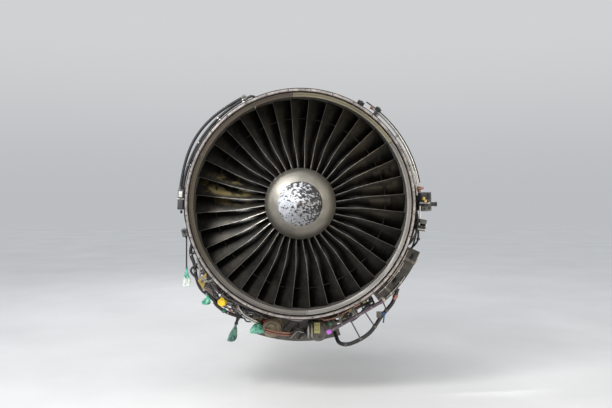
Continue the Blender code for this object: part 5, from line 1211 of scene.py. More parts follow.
pipes("harness_tail", [
    (arc(331.8, 335.5, INNER_HARNESS, TUBE_LINE, 6), 0.011),
    (smooth_line([at_clock(335.3, INNER_HARNESS, TUBE_LINE), at_clock(336.6, 0.955, TUBE_LINE + 0.01),
                  at_clock(337.2, 0.925, TUBE_LINE + 0.03), at_clock(337.4, 0.898, TUBE_LINE + 0.05)], 14), 0.010)],
    SLEEVE)

supply = pipe("supply_tube_run", arc(36.0, 84.5, SUPPLY, TUBE_LINE, 44), 0.010, BARE, sides=14)
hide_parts("supply_tube")
clamps("supply_tube_clamps", (41.0, 55.0, 71.0), SUPPLY, 0.010, TUBE_LINE, STEEL)
pipe("supply_black_line", arc(33.0, 80.0, 0.995, TUBE_LINE + 0.012, 40), 0.0055, SLEEVE, sides=10)
pipe("supply_pale_line", arc(58.0, 86.0, 0.952, TUBE_LINE - 0.04, 30), 0.0065, PALE, sides=10)
shape = bmesh.new()
for clock, reach, length in ((31.0, 0.962, 0.060), (39.6, 1.000, 0.052)):
    middle = at_clock(clock, reach, 0.232)
    along_case = round_case(clock)
    drum_into(shape, [(-length / 2, 0.010), (-length / 2 + 0.003, 0.016), (-length / 6, 0.016), (-length / 6, 0.020),
                      (length / 5, 0.020), (length / 5, 0.015), (length / 2, 0.013)],
              pointing(middle, along_case), 22)
    box_into(shape, (0.026, 0.026, reach - CONTAINMENT), placed(clock, (reach + CONTAINMENT) / 2, 0.232), 0.003)
weld(shape)
from_shape("upper_right_fittings", shape, BLACK, sharp=35.0)
drums("supply_tube_nuts", [
    ([(-0.014, 0.011), (-0.012, 0.015), (0.010, 0.015), (0.012, 0.012)],
     pointing(at_clock(clock, SUPPLY, TUBE_LINE), round_case(clock))) for clock in (36.6, 83.8)],
    COPPER, steps=6)


# Thin tubes and fittings beside the control unit

pipes("control_unit_pale_tubes", [
    (smooth_line([seen_at(414.0, 171.0, 0.22), seen_at(416.2, 178.0, 0.20), seen_at(418.0, 186.5, 0.17)], 14), 0.0065),
    ([seen_at(420.0, 206.0, 0.128), seen_at(420.0, 212.0, 0.128), seen_at(420.2, 218.5, 0.128)], 0.0065)], PALE, 10)
drums("control_unit_red_fitting", [
    ([(0.0, 0.011), (0.004, 0.0135), (0.030, 0.0135), (0.034, 0.010), (0.050, 0.009)],
     pointing(seen_at(417.4, 188.2, 0.168), (1.0, 0.15, 0.0)))], COPPER)
pipes("control_unit_lower_tubes", [
    (smooth_line([seen_at(418.6, 224.5, 0.16), seen_at(418.4, 231.0, 0.165), seen_at(417.6, 240.5, 0.18),
                  seen_at(412.5, 247.0, 0.20), seen_at(408.0, 250.0, 0.23)], 20), 0.008),
    (smooth_line([seen_at(416.0, 226.0, 0.19), seen_at(415.6, 236.0, 0.19), seen_at(411.0, 250.0, 0.21),
                  seen_at(406.0, 256.5, 0.24)], 20), 0.007)], SLEEVE)
drums("control_unit_lower_fitting", [
    ([(-0.010, 0.010), (-0.008, 0.014), (0.008, 0.014), (0.010, 0.011)],
     pointing(seen_at(418.2, 239.0, 0.177), (0.1, -0.1, 1.0)))], BLACK)


# Big hose at the lower left, and what hangs on it

HOSE_SHARES = (
    (HOSE_CLOCK, 1.0352, 0.35), (HOSE_CLOCK, 1.075, 0.35), (246.0, 1.13, 0.32), (240.3, 1.145, 0.29),
    (234.0, 1.20, 0.286), (229.0, 1.226, 0.286), (223.0, 1.212, 0.286), (217.0, 1.236, 0.29),
    (210.0, 1.22, 0.34), (204.0, 1.20, 0.46), (201.0, 1.20, 0.60), (199.04, 1.20, 0.60))
hose_points = [at_clock(clock, reach * FAN_TIP, station * SHARE_LENGTH) for clock, reach, station in HOSE_SHARES]
hose_line = [hose_points[0], *smooth_line(hose_points[1:-1], 110), hose_points[-1]]
hose = pipe("big_hose", hose_line, 0.014, SLEEVE, sides=16)
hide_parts("lower_left_hose")
drums("big_hose_ends", [
    ([(0.0, 0.0165), (0.026, 0.0165), (0.028, 0.0145)], pointing(place, direction)) for place, direction in (
        (hose_line[0] + outward(HOSE_CLOCK) * 0.004, outward(HOSE_CLOCK)),
        (hose_line[-1], (hose_line[-4] - hose_line[-1]).normalized()))], STEEL)


def on_hose(clock):
    """The point of the hose at a clock angle."""
    return min(hose_line, key=lambda point: abs(math.degrees(math.atan2(point.x, point.z)) % 360.0 - clock))


shape = bmesh.new()
for clock in (245.0, 237.5, 226.0, 214.0, 207.0):
    place = on_hose(clock)
    following = on_hose(clock - 1.5)
    drum_into(shape, [(-0.007, 0.0152), (-0.006, 0.0162), (0.006, 0.0162), (0.007, 0.0152)],
              pointing(place, (following - place).normalized()), 20)
weld(shape)
from_shape("big_hose_bands", shape, STEEL)
pipes("braided_tubes", [
    (smooth_line([
        at_clock(233.5, 0.955, station + 0.02), at_clock(230.5, 0.985 + lift, station),
        at_clock(225.5, 0.99 + lift, station), at_clock(220.0, 0.975 + lift, station),
        at_clock(214.5, 0.96 + lift * 0.6, station), at_clock(210.5, 0.93, station + 0.03),
        at_clock(209.0, 0.897, station + 0.05)], 44), 0.0075)
    for lift, station in ((0.030, 0.18), (0.046, 0.205), (0.062, 0.23))], BRAID, 10)
pipes("silver_tubes", [
    (smooth_line([
        at_clock(212.0, 0.90, station + 0.06), at_clock(211.5, 0.96 + lift, station),
        at_clock(207.5, 1.00 + lift, station), at_clock(203.0, 1.01 + lift, station),
        at_clock(199.5, 1.02 + lift, station + 0.03), at_clock(197.5, 1.03 + lift, 0.339)], 36), 0.008)
    for lift, station in ((0.0, 0.17), (0.020, 0.19))], BARE)

hang = on_hose(224.4)
bag("green_bag_upper", hang + Vector((-0.026, -0.010, -0.072)), hang + Vector((-0.012, -0.016, 0.012)), 0.064, 0.05,
    GREEN_FILM, neck=0.2, seed=11)
drums("hose_black_plug", [
    ([(-0.030, 0.012), (-0.028, 0.0185), (-0.004, 0.0185), (-0.004, 0.021), (0.004, 0.021), (0.004, 0.0175),
      (0.026, 0.0165), (0.030, 0.013)], pointing(on_hose(219.8), (on_hose(217.0) - on_hose(222.0)).normalized()))],
    BLACK)
drums("hose_green_plug", [
    ([(-0.012, 0.0175), (-0.010, 0.0195), (0.010, 0.0195), (0.012, 0.0175)],
     pointing(on_hose(215.8), (on_hose(214.5) - on_hose(217.0)).normalized()))], GREEN_PLASTIC)
tee = on_hose(208.6)
drums("hose_branch_plug", [
    ([(-0.012, 0.013), (0.0, 0.0165), (0.022, 0.0165), (0.024, 0.013), (0.052, 0.012), (0.054, 0.0155),
      (0.066, 0.0155), (0.068, 0.011)], pointing(tee, Vector((-0.34, -0.1, -1.0))))], BLACK)
branch = tee + Vector((-0.34, -0.1, -1.0)).normalized() * 0.062
bag("dark_bag", branch + Vector((-0.040, -0.008, -0.148)), branch, 0.062, 0.05, DARK_FILM, neck=0.14, seed=23)
TAN = material("tan_metal", (0.27, 0.225, 0.16), 0.5, 0.3, vary=0.15, scale=24.0, stain=(0.22, 0.20, 0.17),
               stain_share=0.25)
drums("tan_filter", [
    ([(-0.004, 0.030), (0.0, 0.046), (0.012, 0.046), (0.012, 0.041), (0.072, 0.041), (0.078, 0.036), (0.090, 0.018),
      (0.100, 0.014)], to_front(at_clock(200.4, 1.005, 0.335)))],
    TAN, steps=36)
box_piece("tan_filter_bracket", [
    ((0.030, 0.016, 0.13), placed(200.4, 0.955, 0.325)), ((0.070, 0.016, 0.030), placed(198.6, 1.005, 0.333))], CAST)
bag("green_bag_lower", seen_at(257.0, 333.5, 0.21), seen_at(258.0, 321.4, 0.24), 0.105, 0.075, GREEN_FILM, neck=0.12,
    seed=31)


# Gearbox and its accessories

GEARBOX_FIRST, GEARBOX_SWEEP = 163.0, 36.0
GEAR_COVERS = ((167.4, 0.034), (180.8, 0.042), (197.0, 0.030))      # clock angle and radius of each
COVER_REACH = 1.075
shape = bmesh.new()
ribs = [(0.34, 0.937), (0.34, 1.150), (0.352, 1.150), (0.352, 1.142), (0.435, 1.142), (0.435, 1.170), (0.465, 1.170),
        (0.465, 1.142), (0.548, 1.142), (0.548, 1.150), (0.56, 1.150), (0.56, 0.937)]
lathe_into(shape, rounded(ribs, 0.004), 48, from_clock=GEARBOX_FIRST, sweep=GEARBOX_SWEEP)
weld(shape)
for clock in (173.8, 188.2):
    box_into(shape, (0.05, 0.03, 0.05), placed(clock, 0.922, 0.37), 0.004)
    box_into(shape, (0.07, 0.05, 0.012), placed(clock, 0.906, 0.37), 0.003)
for clock, size in GEAR_COVERS:
    drum_into(shape, [(0.0, size + 0.012), (0.008, size + 0.012), (0.009, size), (0.022, size), (0.024, size * 0.8)],
              to_front(at_clock(clock, COVER_REACH, 0.341)), 32)
for step in range(9):
    for station in (0.394, 0.506):
        box_into(shape, (0.012, 0.075, 0.010), placed(GEARBOX_FIRST + 2.0 + 4.0 * step, 1.146, station), 0.003)
gearbox = from_shape("gearbox_housing", shape, GEARBOX, sharp=32.0)
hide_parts("accessory_gearbox")
places = [(at_clock(first + sweep * step / count, 1.160, station), (0.0, way, 0.0))
          for first, sweep, count, station, way in (
              (164.2, 33.6, 16, 0.4348, -1.0), (164.2, 33.6, 16, 0.4652, 1.0), (164.0, 34.0, 24, 0.4348, -1.0))
          for step in range(count + 1)]
for clock, size in GEAR_COVERS:
    places += bolt_circle(at_clock(clock, COVER_REACH, 0.3328), size + 0.006, 6, -1.0)
bolts("gearbox_bolts", places, STEEL, size=0.0055, height=0.006)


ACCESSORY_REACH = 1.0425                    # from the shaft line to the accessories' own axes


def canister(name, clock, radius, seat, way, profile, material, node, flange_bolts=10):
    """An accessory on a face of the gearbox, with a bolted flange. Returns the middle of its seat."""
    centre = at_clock(clock, ACCESSORY_REACH, seat)
    piece = drums(name, [(profile, to_front(centre) if way < 0 else to_rear(centre))], material, steps=48)
    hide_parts(node)
    bolts(f"{name}_bolts", bolt_circle(centre + Vector((0.0, way * 0.012, 0.0)), radius + 0.006, flange_bolts, way),
          STEEL, size=0.0045, height=0.005)
    return centre


ribbed = [(0.0, 0.087), (0.012, 0.087), (0.012, 0.074)]
for rib in range(7):
    ribbed += [(offset + 0.014 * rib, radius) for offset, radius in (
        (0.030, 0.0705), (0.033, 0.075), (0.038, 0.075), (0.041, 0.0705))]
canister("starter_body", 193.0, 0.075, 0.3395, -1, [
    *ribbed, (0.136, 0.074), (0.150, 0.060), (0.152, 0.045), (0.168, 0.044), (0.170, 0.040), (0.166, 0.036)],
    TAN, "air_starter")
generator = canister("generator_body", 172.0, 0.08, 0.3395, -1, [
    (0.0, 0.092), (0.012, 0.092), (0.012, 0.079), (0.060, 0.079), (0.060, 0.082), (0.070, 0.082), (0.070, 0.078),
    (0.150, 0.078), (0.152, 0.081), (0.172, 0.080), (0.180, 0.072), (0.205, 0.060), (0.218, 0.050), (0.220, 0.044),
    (0.214, 0.030)], GEARBOX, "generator", 12)
canister("fuel_pump_body", 189.0, 0.07, 0.5605, 1, [
    (0.0, 0.082), (0.012, 0.082), (0.012, 0.066), (0.050, 0.066), (0.052, 0.070), (0.090, 0.070), (0.092, 0.064),
    (0.128, 0.064), (0.140, 0.052), (0.158, 0.042), (0.160, 0.036)], CAST, "fuel_pump")
bolts("generator_face_bolts", bolt_circle(generator - Vector((0.0, 0.187, 0.0)), 0.066, 10, -1.0, 0.5), STEEL,
      size=0.0045, height=0.006)
box_piece("generator_terminal_box", [
    ((0.046, 0.052, 0.084), Matrix.Translation(seen_at(317.0, 327.5, 0.094))),
    ((0.050, 0.006, 0.090), Matrix.Translation(seen_at(317.0, 327.5, 0.112)))], OLIVE_BOX)
drums("generator_terminals", [
    ([(0.0, 0.0052), (0.003, 0.0052), (0.003, 0.0032), (0.009, 0.0032)], to_front(
        seen_at(317.0 + dx, 327.5 + dz, 0.069)))
    for dx in (-1.2, 1.2) for dz in (-2.4, 2.4)], GEARBOX, steps=14)
pipes("generator_silver_tubes", [
    (smooth_line([
        seen_at(pixel_x + 1.0, top - 2.8, 0.335), seen_at(pixel_x, top - 2.5, 0.20), seen_at(pixel_x, top, 0.11),
        seen_at(pixel_x, (top + foot) / 2, 0.098), seen_at(pixel_x, foot - 1.0, 0.10),
        seen_at(pixel_x + 1.0, foot, 0.124)], 40), 0.0075)
    for pixel_x, top, foot in ((308.4, 324.5, 338.0), (312.0, 324.0, 337.0))], STEEL)
box_piece("green_fitting", [((0.034, 0.030, 0.026), Matrix.Translation(seen_at(329.2, 323.6, 0.265)))], GREEN_PLASTIC)
drums("starter_red_cap", [
    ([(-0.030, 0.012), (0.0, 0.014), (0.002, 0.021), (0.020, 0.021), (0.024, 0.016)],
     pointing(seen_at(266.6, 322.6, 0.235), (-0.35, -0.4, 0.85)))], RED, steps=28)
pipes("copper_tubes", [
    (smooth_line([
        at_clock(195.4, reach, 0.185), at_clock(195.2, reach, station + 0.006),
        at_clock(193.8, reach, station - 0.006), at_clock(190.0, reach, station - 0.008),
        at_clock(186.0, reach, station), at_clock(184.2, reach, station + 0.03),
        at_clock(183.8, reach, 0.27), at_clock(183.8, reach, 0.341)], 44), 0.0075)
    for reach, station in ((1.046, 0.152), (1.068, 0.158))], COPPER)
for name, clock, finish in (("case_box_a", 158.8, OLIVE_BOX), ("case_box_b", 153.4, CAST)):
    matrix = placed(clock, 0.968, 0.235)
    box_piece(name, [((0.050, 0.070, 0.078), matrix), ((0.054, 0.020, 0.012), shifted(matrix, z=-0.040)),
                     ((0.040, 0.090, 0.034), placed(clock, 0.916, 0.25))], finish)
    drums(f"{name}_plugs", [(PLUG, facing(matrix, x, -0.034, z)) for x, z in ((-0.010, 0.018), (0.010, -0.016))], BLACK)


# Looms behind the lower left tubes

LOOM_FOOT = 0.893                           # just inside the belt
shape = bmesh.new()
for first, last, reach, station, radius in (
        (206.0, 238.0, 0.936, 0.375, 0.0085), (209.0, 246.0, 0.956, 0.390, 0.0075),
        (204.0, 232.0, 0.975, 0.400, 0.0080), (214.0, 251.0, 0.925, 0.350, 0.0065),
        (212.0, 234.0, 0.995, 0.415, 0.0070), (219.0, 256.0, 0.945, 0.365, 0.0070)):
    clocks = [first + (last - first) * step / 10 for step in range(11)]
    line = [at_clock(clock, reach + 0.007 * math.sin(2.1 * step + first), station + 0.010 * math.cos(1.7 * step + last))
            for step, clock in enumerate(clocks[1:-1])]
    pipe_into(shape, smooth_line([at_clock(first, LOOM_FOOT, station), *line, at_clock(last, LOOM_FOOT, station)], 60),
              radius, 10)
    for step in (2, 6):
        pipe_into(shape, [at_clock(clocks[step + 1], LOOM_FOOT, station), line[step]], 0.0042, 8)
weld(shape)
from_shape("lower_left_looms", shape, BLACK, sharp=50.0)


# Oil tank

TANK_FIRST, TANK_SWEEP, TANK_TOP = 112.0, 29.0, 1.035
TUBE_END = 0.118                            # station inside the tank's front wall
CAP_CLOCK = TANK_FIRST + TANK_SWEEP / 8
shape = bmesh.new()
tank_outline = rounded([(0.11, 0.912), (0.46, 0.912), (0.46, TANK_TOP), (0.11, TANK_TOP)], 0.016, count=6)
lathe_into(shape, tank_outline, 40, from_clock=TANK_FIRST, sweep=TANK_SWEEP)
weld(shape)
for clock in (CAP_CLOCK, TANK_FIRST + TANK_SWEEP * 7 / 8):
    box_into(shape, (0.05, 0.05, 0.03), placed(clock, 0.905, 0.34), 0.004)
tank = from_shape("oil_tank_shell", shape, TANK_PAINT, sharp=40.0)
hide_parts("oil_tank")
shape = bmesh.new()
for clock in (117.5, 134.5):
    lathe_into(shape, rounded([(0.106, 0.910), (0.464, 0.910), (0.464, 1.0385), (0.106, 1.0385)], 0.018, count=5), 3,
               from_clock=clock - 0.7, sweep=1.4)
from_shape("oil_tank_straps", shape, GEARBOX, sharp=40.0)
shape = bmesh.new()
for first, last, reach, station in ((113.4, 132.2, 0.935, 0.100), (119.4, 139.6, 0.948, 0.099),
                                    (125.0, 138.0, 1.016, 0.101)):
    clocks = [first + (last - first) * step / 8 for step in range(9)]
    pipe_into(shape, smooth_line([at_clock(first, reach, TUBE_END), at_clock(first + 0.4, reach, station)]
                                 + [at_clock(clock, reach, station) for clock in clocks[1:-1]]
                                 + [at_clock(last - 0.4, reach, station), at_clock(last, reach, TUBE_END)], 48),
              0.0062, 10)
    for clock in (clocks[2], clocks[6]):
        box_into(shape, (0.012, 0.024, 0.020), placed(clock, reach, 0.102), 0.003)
weld(shape)
from_shape("oil_tank_tubes", shape, STEEL, sharp=40.0)
shape = bmesh.new()
for clock, reach in ((115.2, 1.000), (129.0, 0.985)):
    box_into(shape, (0.052, 0.034, 0.034), placed(clock, reach, 0.096), 0.004)
    drum_into(shape, [(-0.001, 0.011), (0.010, 0.011), (0.011, 0.008)],
              to_front(at_clock(clock, reach, 0.0795)), 16)
weld(shape)
from_shape("oil_tank_senders", shape, BLACK, sharp=40.0)
shape = bmesh.new()
lathe_into(shape, [(0.108, 0.955), (0.112, 0.955), (0.112, 1.0), (0.108, 1.0)], 12, from_clock=122.0, sweep=7.0)
from_shape("oil_tank_sight_frame", shape, BLACK)
drums("oil_filler_neck", [
    ([(-0.002, 0.040), (0.001, 0.040), (0.002, 0.036)], placed(CAP_CLOCK, 1.0335, 0.20))], STEEL, steps=32)
piece = drums("oil_cap_body", [
    ([(0.0006, 0.032), (0.004, 0.032), (0.005, 0.0305), (0.016, 0.029), (0.021, 0.026), (0.0218, 0.010)],
     placed(CAP_CLOCK, 1.0330, 0.20))], BARE, body="oil_cap", steps=40)
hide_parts("oil_filler_cap")
cap_matrix = placed(CAP_CLOCK, 1.0545, 0.20)
box_piece("oil_cap_grip", [((0.046, 0.008, 0.009), cap_matrix)], STEEL, body="oil_cap", bevel=0.003)


# Air duct and drain tube

DUCT_SHARES = ((164.2, 1.364, 0.32), (160.0, 1.395, 0.286), (152.0, 1.376, 0.286), (144.0, 1.300, 0.286),
               (137.0, 1.268, 0.286))
duct_first = at_clock(165.0, 1.118, 0.3397)
duct_points = [duct_first - Vector((0.0, 0.048, 0.0)),
               *[at_clock(clock, reach * FAN_TIP, station * SHARE_LENGTH) for clock, reach, station in DUCT_SHARES],
               at_clock(131.0, 1.0513, 0.20)]
duct_line = [duct_first, *smooth_line(duct_points, 90)]
duct = pipe("black_duct", duct_line, 0.016, BLACK, sides=18)
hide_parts("air_duct")


def on_duct(clock):
    """The point of the duct at a clock angle."""
    return min(duct_line[8:], key=lambda point: abs(math.degrees(math.atan2(point.x, point.z)) - clock))


shape = bmesh.new()
for clock in (162.0, 156.0, 149.0, 141.0):
    place = on_duct(clock)
    drum_into(shape, [(-0.008, 0.0165), (-0.007, 0.0182), (0.007, 0.0182), (0.008, 0.0165)],
              pointing(place, (on_duct(clock - 1.5) - place).normalized()), 24)
for duct_clock, foot_clock, reach in ((156.0, 157.5, 0.903), (149.0, 149.5, 0.903), (141.0, 139.6, 1.034)):
    pipe_into(shape, [on_duct(duct_clock), at_clock(foot_clock, reach, 0.235)], 0.0055, 10)
    drum_into(shape, [(-0.002, 0.016), (0.004, 0.016), (0.006, 0.010)], placed(foot_clock, reach, 0.235), 16)
weld(shape)
from_shape("duct_bands_and_struts", shape, GEARBOX, sharp=40.0)
strap = on_duct(142.8)
drums("duct_blue_strap", [
    ([(-0.014, 0.0168), (-0.013, 0.0190), (0.013, 0.0190), (0.014, 0.0168)],
     pointing(strap, (on_duct(141.4) - strap).normalized()))], BLUE)
box_piece("duct_strap_tail", [
    ((0.012, 0.004, 0.072), Matrix.Translation(strap + Vector((0.002, -0.018, -0.034)))
     @ turned(8.0, "Y"))], BLUE, bevel=0.001)
box_piece("duct_pale_bracket", [
    ((0.044, 0.006, 0.050), Matrix.Translation(on_duct(145.6) + Vector((-0.004, -0.012, 0.040)))),
    ((0.030, 0.030, 0.006), Matrix.Translation(on_duct(145.6) + Vector((-0.004, -0.004, 0.017))))],
          GEARBOX, bevel=0.002)
drums("duct_brown_plug", [
    ([(-0.006, 0.019), (0.0, 0.021), (0.022, 0.021), (0.024, 0.017), (0.040, 0.016)],
     pointing(on_duct(133.6), (on_duct(136.0) - on_duct(133.6)).normalized()))], COPPER)
DRAIN_STATION = 0.0957
drain_low = at_clock(166.8, 1.04255, DRAIN_STATION)
drain_end = at_clock(139.5, 1.01655, DRAIN_STATION)
drain = pipe("drain_tube_run", [drain_low.lerp(drain_end, step / 16) for step in range(17)], 0.014, PURPLE_TUBE,
             sides=18)
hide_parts("drain_tube")
direction = (drain_end - drain_low).normalized()
drums("drain_tube_cap", [
    ([(-0.030, 0.010), (-0.028, 0.0185), (-0.020, 0.0195), (-0.008, 0.0185), (0.006, 0.0175), (0.008, 0.0155)],
     pointing(drain_low, direction))], MAGENTA, steps=32)
drums("drain_tube_bands", [
    ([(-0.006, 0.0148), (-0.005, 0.0165), (0.005, 0.0165), (0.006, 0.0148)],
     pointing(drain_low.lerp(drain_end, share), direction)) for share in (0.22, 0.5, 0.78)], STEEL)
shape = bmesh.new()
for share in (0.22, 0.5):
    place = drain_low.lerp(drain_end, share)
    up = Vector((place.x, 0.0, place.z)).normalized()
    box_into(shape, (0.016, 0.014, place.length - 0.900), Matrix.Translation(
        up * (0.5 * (math.hypot(place.x, place.z) + 0.890)) + Vector((0.0, 0.085, 0.0)))
        @ Matrix.Rotation(math.atan2(up.x, up.z), 4, "Y"), 0.002)
from_shape("drain_tube_brackets", shape, GEARBOX, sharp=35.0)
drums("tank_drain_boss", [
    ([(-0.004, 0.024), (0.010, 0.024), (0.012, 0.018)],
     to_front(drain_end + Vector((-0.006, 0.016, 0.004))))],
    STEEL)


# Loose runs of small tubes and leads along the lower case and in front of the gearbox

RUNS = random.Random(41)
RUN_MATERIALS = (SLEEVE, BLACK, GEARBOX, SLEEVE, COPPER, SLEEVE, STEEL, DARK_PAINT, BLACK, SLEEVE, BRAID)


def case_run(shape, fittings, from_clock, to_clock, low, high, station, radius):
    """A tube that leaves the case, runs round it in waves and returns to it."""
    way = 1.0 if to_clock > from_clock else -1.0
    span = abs(to_clock - from_clock)
    points = [at_clock(from_clock, CONTAINMENT - 0.004, station + 0.03),
              at_clock(from_clock + way * 0.3, along(CONTAINMENT, low, 0.7), station + 0.015)]
    stops = max(3, int(span / 4.0))
    for stop in range(stops + 1):
        share = stop / stops
        points.append(at_clock(
            along(from_clock, to_clock, along(0.06, 0.94, share)),
            along(low, high, 0.5 + 0.5 * math.sin(share * 5.0 + from_clock)), station + RUNS.uniform(-0.012, 0.012)))
    points += [at_clock(to_clock - way * 0.3, along(CONTAINMENT, high, 0.6), station + 0.015),
               at_clock(to_clock, CONTAINMENT - 0.004, station + 0.03)]
    line = smooth_line(points, 10 * stops + 24)
    pipe_into(shape, line, radius, 10)
    for index in (4, len(line) - 5):
        drum_into(fittings, [(-0.008, radius * 1.15), (-0.006, radius * 1.7), (0.006, radius * 1.7),
                             (0.008, radius * 1.15)], pointing(line[index], (line[index + 1] - line[index])), 6)


CASE_RUNS = (
    (247.0, 226.0, 0.918, 0.935, 0.16), (242.0, 214.0, 0.925, 0.950, 0.20), (238.0, 206.0, 0.935, 0.965, 0.14),
    (233.0, 203.0, 0.945, 0.985, 0.22), (229.0, 211.0, 1.000, 1.035, 0.17), (224.0, 201.0, 0.930, 0.955, 0.25),
    (221.0, 204.0, 0.985, 1.020, 0.20), (217.0, 200.5, 0.915, 0.935, 0.15), (235.0, 222.0, 0.965, 1.010, 0.12),
    (204.0, 188.0, 0.915, 0.930, 0.12), (198.0, 178.0, 0.925, 0.945, 0.17), (190.0, 168.0, 0.915, 0.940, 0.22),
    (180.0, 160.0, 0.925, 0.950, 0.14), (174.0, 150.0, 0.915, 0.935, 0.19), (166.0, 143.0, 0.935, 0.965, 0.16),
    (246.0, 220.0, 0.965, 1.000, 0.24), (240.0, 218.0, 0.985, 1.030, 0.13), (236.0, 205.0, 0.960, 1.005, 0.18),
    (231.0, 202.0, 0.915, 0.940, 0.28), (226.0, 207.0, 1.010, 1.050, 0.22), (214.0, 199.5, 0.960, 1.030, 0.16),
    (243.0, 229.0, 0.935, 0.990, 0.12), (212.0, 200.0, 0.990, 1.060, 0.24), (209.0, 196.0, 0.940, 0.965, 0.13),
    (165.0, 144.0, 0.960, 1.000, 0.18), (158.0, 143.0, 0.985, 1.030, 0.15), (170.0, 149.0, 0.930, 0.955, 0.12),
    (160.0, 142.5, 0.950, 0.985, 0.21), (155.0, 142.0, 0.915, 0.930, 0.12), (183.0, 162.0, 0.940, 0.960, 0.26),
)
run_shapes = {made.name: (bmesh.new(), made) for made in RUN_MATERIALS}
fitting_shape = bmesh.new()
for index, (from_clock, to_clock, low, high, station) in enumerate(CASE_RUNS):
    made = RUN_MATERIALS[index % len(RUN_MATERIALS)]
    case_run(run_shapes[made.name][0], fitting_shape, from_clock, to_clock, low, high, station,
             RUNS.uniform(0.0050, 0.0095))
for index in range(13):
    clock = 165.0 + 2.65 * index
    made = RUN_MATERIALS[(3 * index + 2) % len(RUN_MATERIALS)]
    shape = run_shapes[made.name][0]
    reach = 0.965 + 0.165 * ((index * 5) % 7) / 7.0
    far = clock + RUNS.uniform(2.5, 6.5)
    front = RUNS.uniform(0.255, 0.318)
    line = smooth_line([
        at_clock(clock, reach, 0.342), at_clock(clock + 0.2, reach, front + 0.012), at_clock(clock + 0.8, reach, front),
        at_clock(along(clock, far, 0.5), along(reach, 1.045, 0.6), front - 0.012),
        at_clock(far - 0.6, along(reach, 1.12, 0.75), front), at_clock(far, along(reach, 1.13, 0.8), 0.342)], 46)
    pipe_into(shape, line, RUNS.uniform(0.0045, 0.008), 10)
    drum_into(fitting_shape, [(0.0, 0.013), (0.012, 0.013), (0.014, 0.009)], pointing(
        at_clock(clock, reach, 0.341), (0.0, -1.0, 0.0)), 6)
for number, (shape, made) in enumerate(run_shapes.values()):
    if shape.verts:
        from_shape(f"small_tubes_{number + 1}", shape, made, sharp=50.0)
    else:
        shape.free()
weld(fitting_shape)
from_shape("small_tube_fittings", fitting_shape, GEARBOX, sharp=30.0)


def swept_pipes(name, runs, rise, near_lift, far_lift, count, material):
    """Ducts or leads that leave the case, swell away from it and come back, as one mesh."""
    shape = bmesh.new()
    for from_clock, to_clock, low, high, station, radius in runs:
        stops = [(along(from_clock, to_clock, share), reach, station + lift) for share, reach, lift in (
            (0.0, CASE_FOOT, 0.0), (0.06, low, 0.0), (0.35, along(low, high, rise), near_lift), (0.65, high, far_lift),
            (0.94, low, 0.0), (1.0, CASE_FOOT, 0.0))]
        pipe_into(shape, smooth_line([at_clock(*stop) for stop in stops], count), radius, 14)
    return from_shape(name, shape, material, sharp=50.0)


CASE_FOOT = 0.9                             # just inside the belt, where a duct or lead ends
lower_ducts = (
    (248.0, 224.0, 0.912, 0.945, 0.30, 0.020), (240.0, 206.0, 0.925, 0.975, 0.34, 0.024),
    (230.0, 199.0, 0.915, 0.940, 0.37, 0.022), (228.0, 204.0, 0.975, 1.010, 0.36, 0.018),
    (222.0, 200.0, 0.940, 1.000, 0.31, 0.017), (244.0, 216.0, 0.965, 0.990, 0.40, 0.020),
    (218.0, 200.0, 0.995, 1.050, 0.33, 0.016), (163.0, 142.0, 0.920, 0.960, 0.34, 0.018))
swept_pipes("lower_ducts", lower_ducts, 0.7, 0.010, 0.004, 60, DARK_PAINT)
case_leads = (
    (166.0, 143.0, 0.925, 0.945, 0.26, 0.017), (165.5, 150.0, 0.965, 0.985, 0.30, 0.018),
    (162.0, 144.0, 0.945, 0.970, 0.22, 0.013), (166.0, 154.0, 1.000, 1.025, 0.29, 0.014),
    (79.0, 111.0, 0.922, 0.934, 0.22, 0.014), (80.0, 110.5, 0.950, 0.958, 0.27, 0.012),
    (93.0, 111.0, 0.938, 0.962, 0.15, 0.009), (332.0, 284.0, 0.914, 0.922, 0.12, 0.008),
    (327.0, 277.5, 0.926, 0.938, 0.165, 0.009), (318.0, 276.0, 0.918, 0.930, 0.20, 0.010),
    (272.0, 256.5, 0.918, 0.930, 0.14, 0.009), (262.0, 243.0, 0.916, 0.932, 0.17, 0.011))
swept_pipes("case_leads", case_leads, 1.0, 0.006, 0.003, 50, SLEEVE)
box_piece("lower_case_boxes", [
    ((0.052, 0.060, 0.040), placed(161.5, 0.928, 0.20)), ((0.038, 0.050, 0.052), placed(157.5, 0.936, 0.22)),
    ((0.060, 0.050, 0.034), placed(152.5, 0.926, 0.21)), ((0.034, 0.040, 0.060), placed(148.5, 0.938, 0.20)),
    ((0.044, 0.050, 0.040), placed(144.6, 0.930, 0.20)), ((0.046, 0.044, 0.044), placed(210.5, 0.932, 0.24)),
    ((0.060, 0.050, 0.036), placed(222.0, 0.928, 0.27)), ((0.040, 0.040, 0.050), placed(233.0, 0.934, 0.26)),
    ((0.050, 0.046, 0.040), placed(240.5, 0.930, 0.25))], GEARBOX)
box_piece("lower_case_olive_boxes", [
    ((0.030, 0.030, 0.042), placed(155.0, 0.940, 0.17)), ((0.026, 0.030, 0.034), placed(147.0, 0.936, 0.155))],
    OLIVE_BOX)
BLOCK_FOOT = 0.898                          # where the small blocks' feet lie, just inside the belt
shape = bmesh.new()
for index in range(16):
    clock = 203.0 + 2.75 * index + RUNS.uniform(-0.8, 0.8)
    size = RUNS.uniform(0.018, 0.034)
    box_into(shape, (size * 1.2, size, size * 1.4), placed(clock, BLOCK_FOOT + size * 0.7, RUNS.uniform(0.14, 0.30)),
             0.003)
    drum_into(shape, [(0.0, size * 0.4), (size * 0.8, size * 0.4), (size * 0.9, size * 0.3)],
              placed(clock + 0.4, BLOCK_FOOT + size * 1.3, RUNS.uniform(0.14, 0.30)), 16)
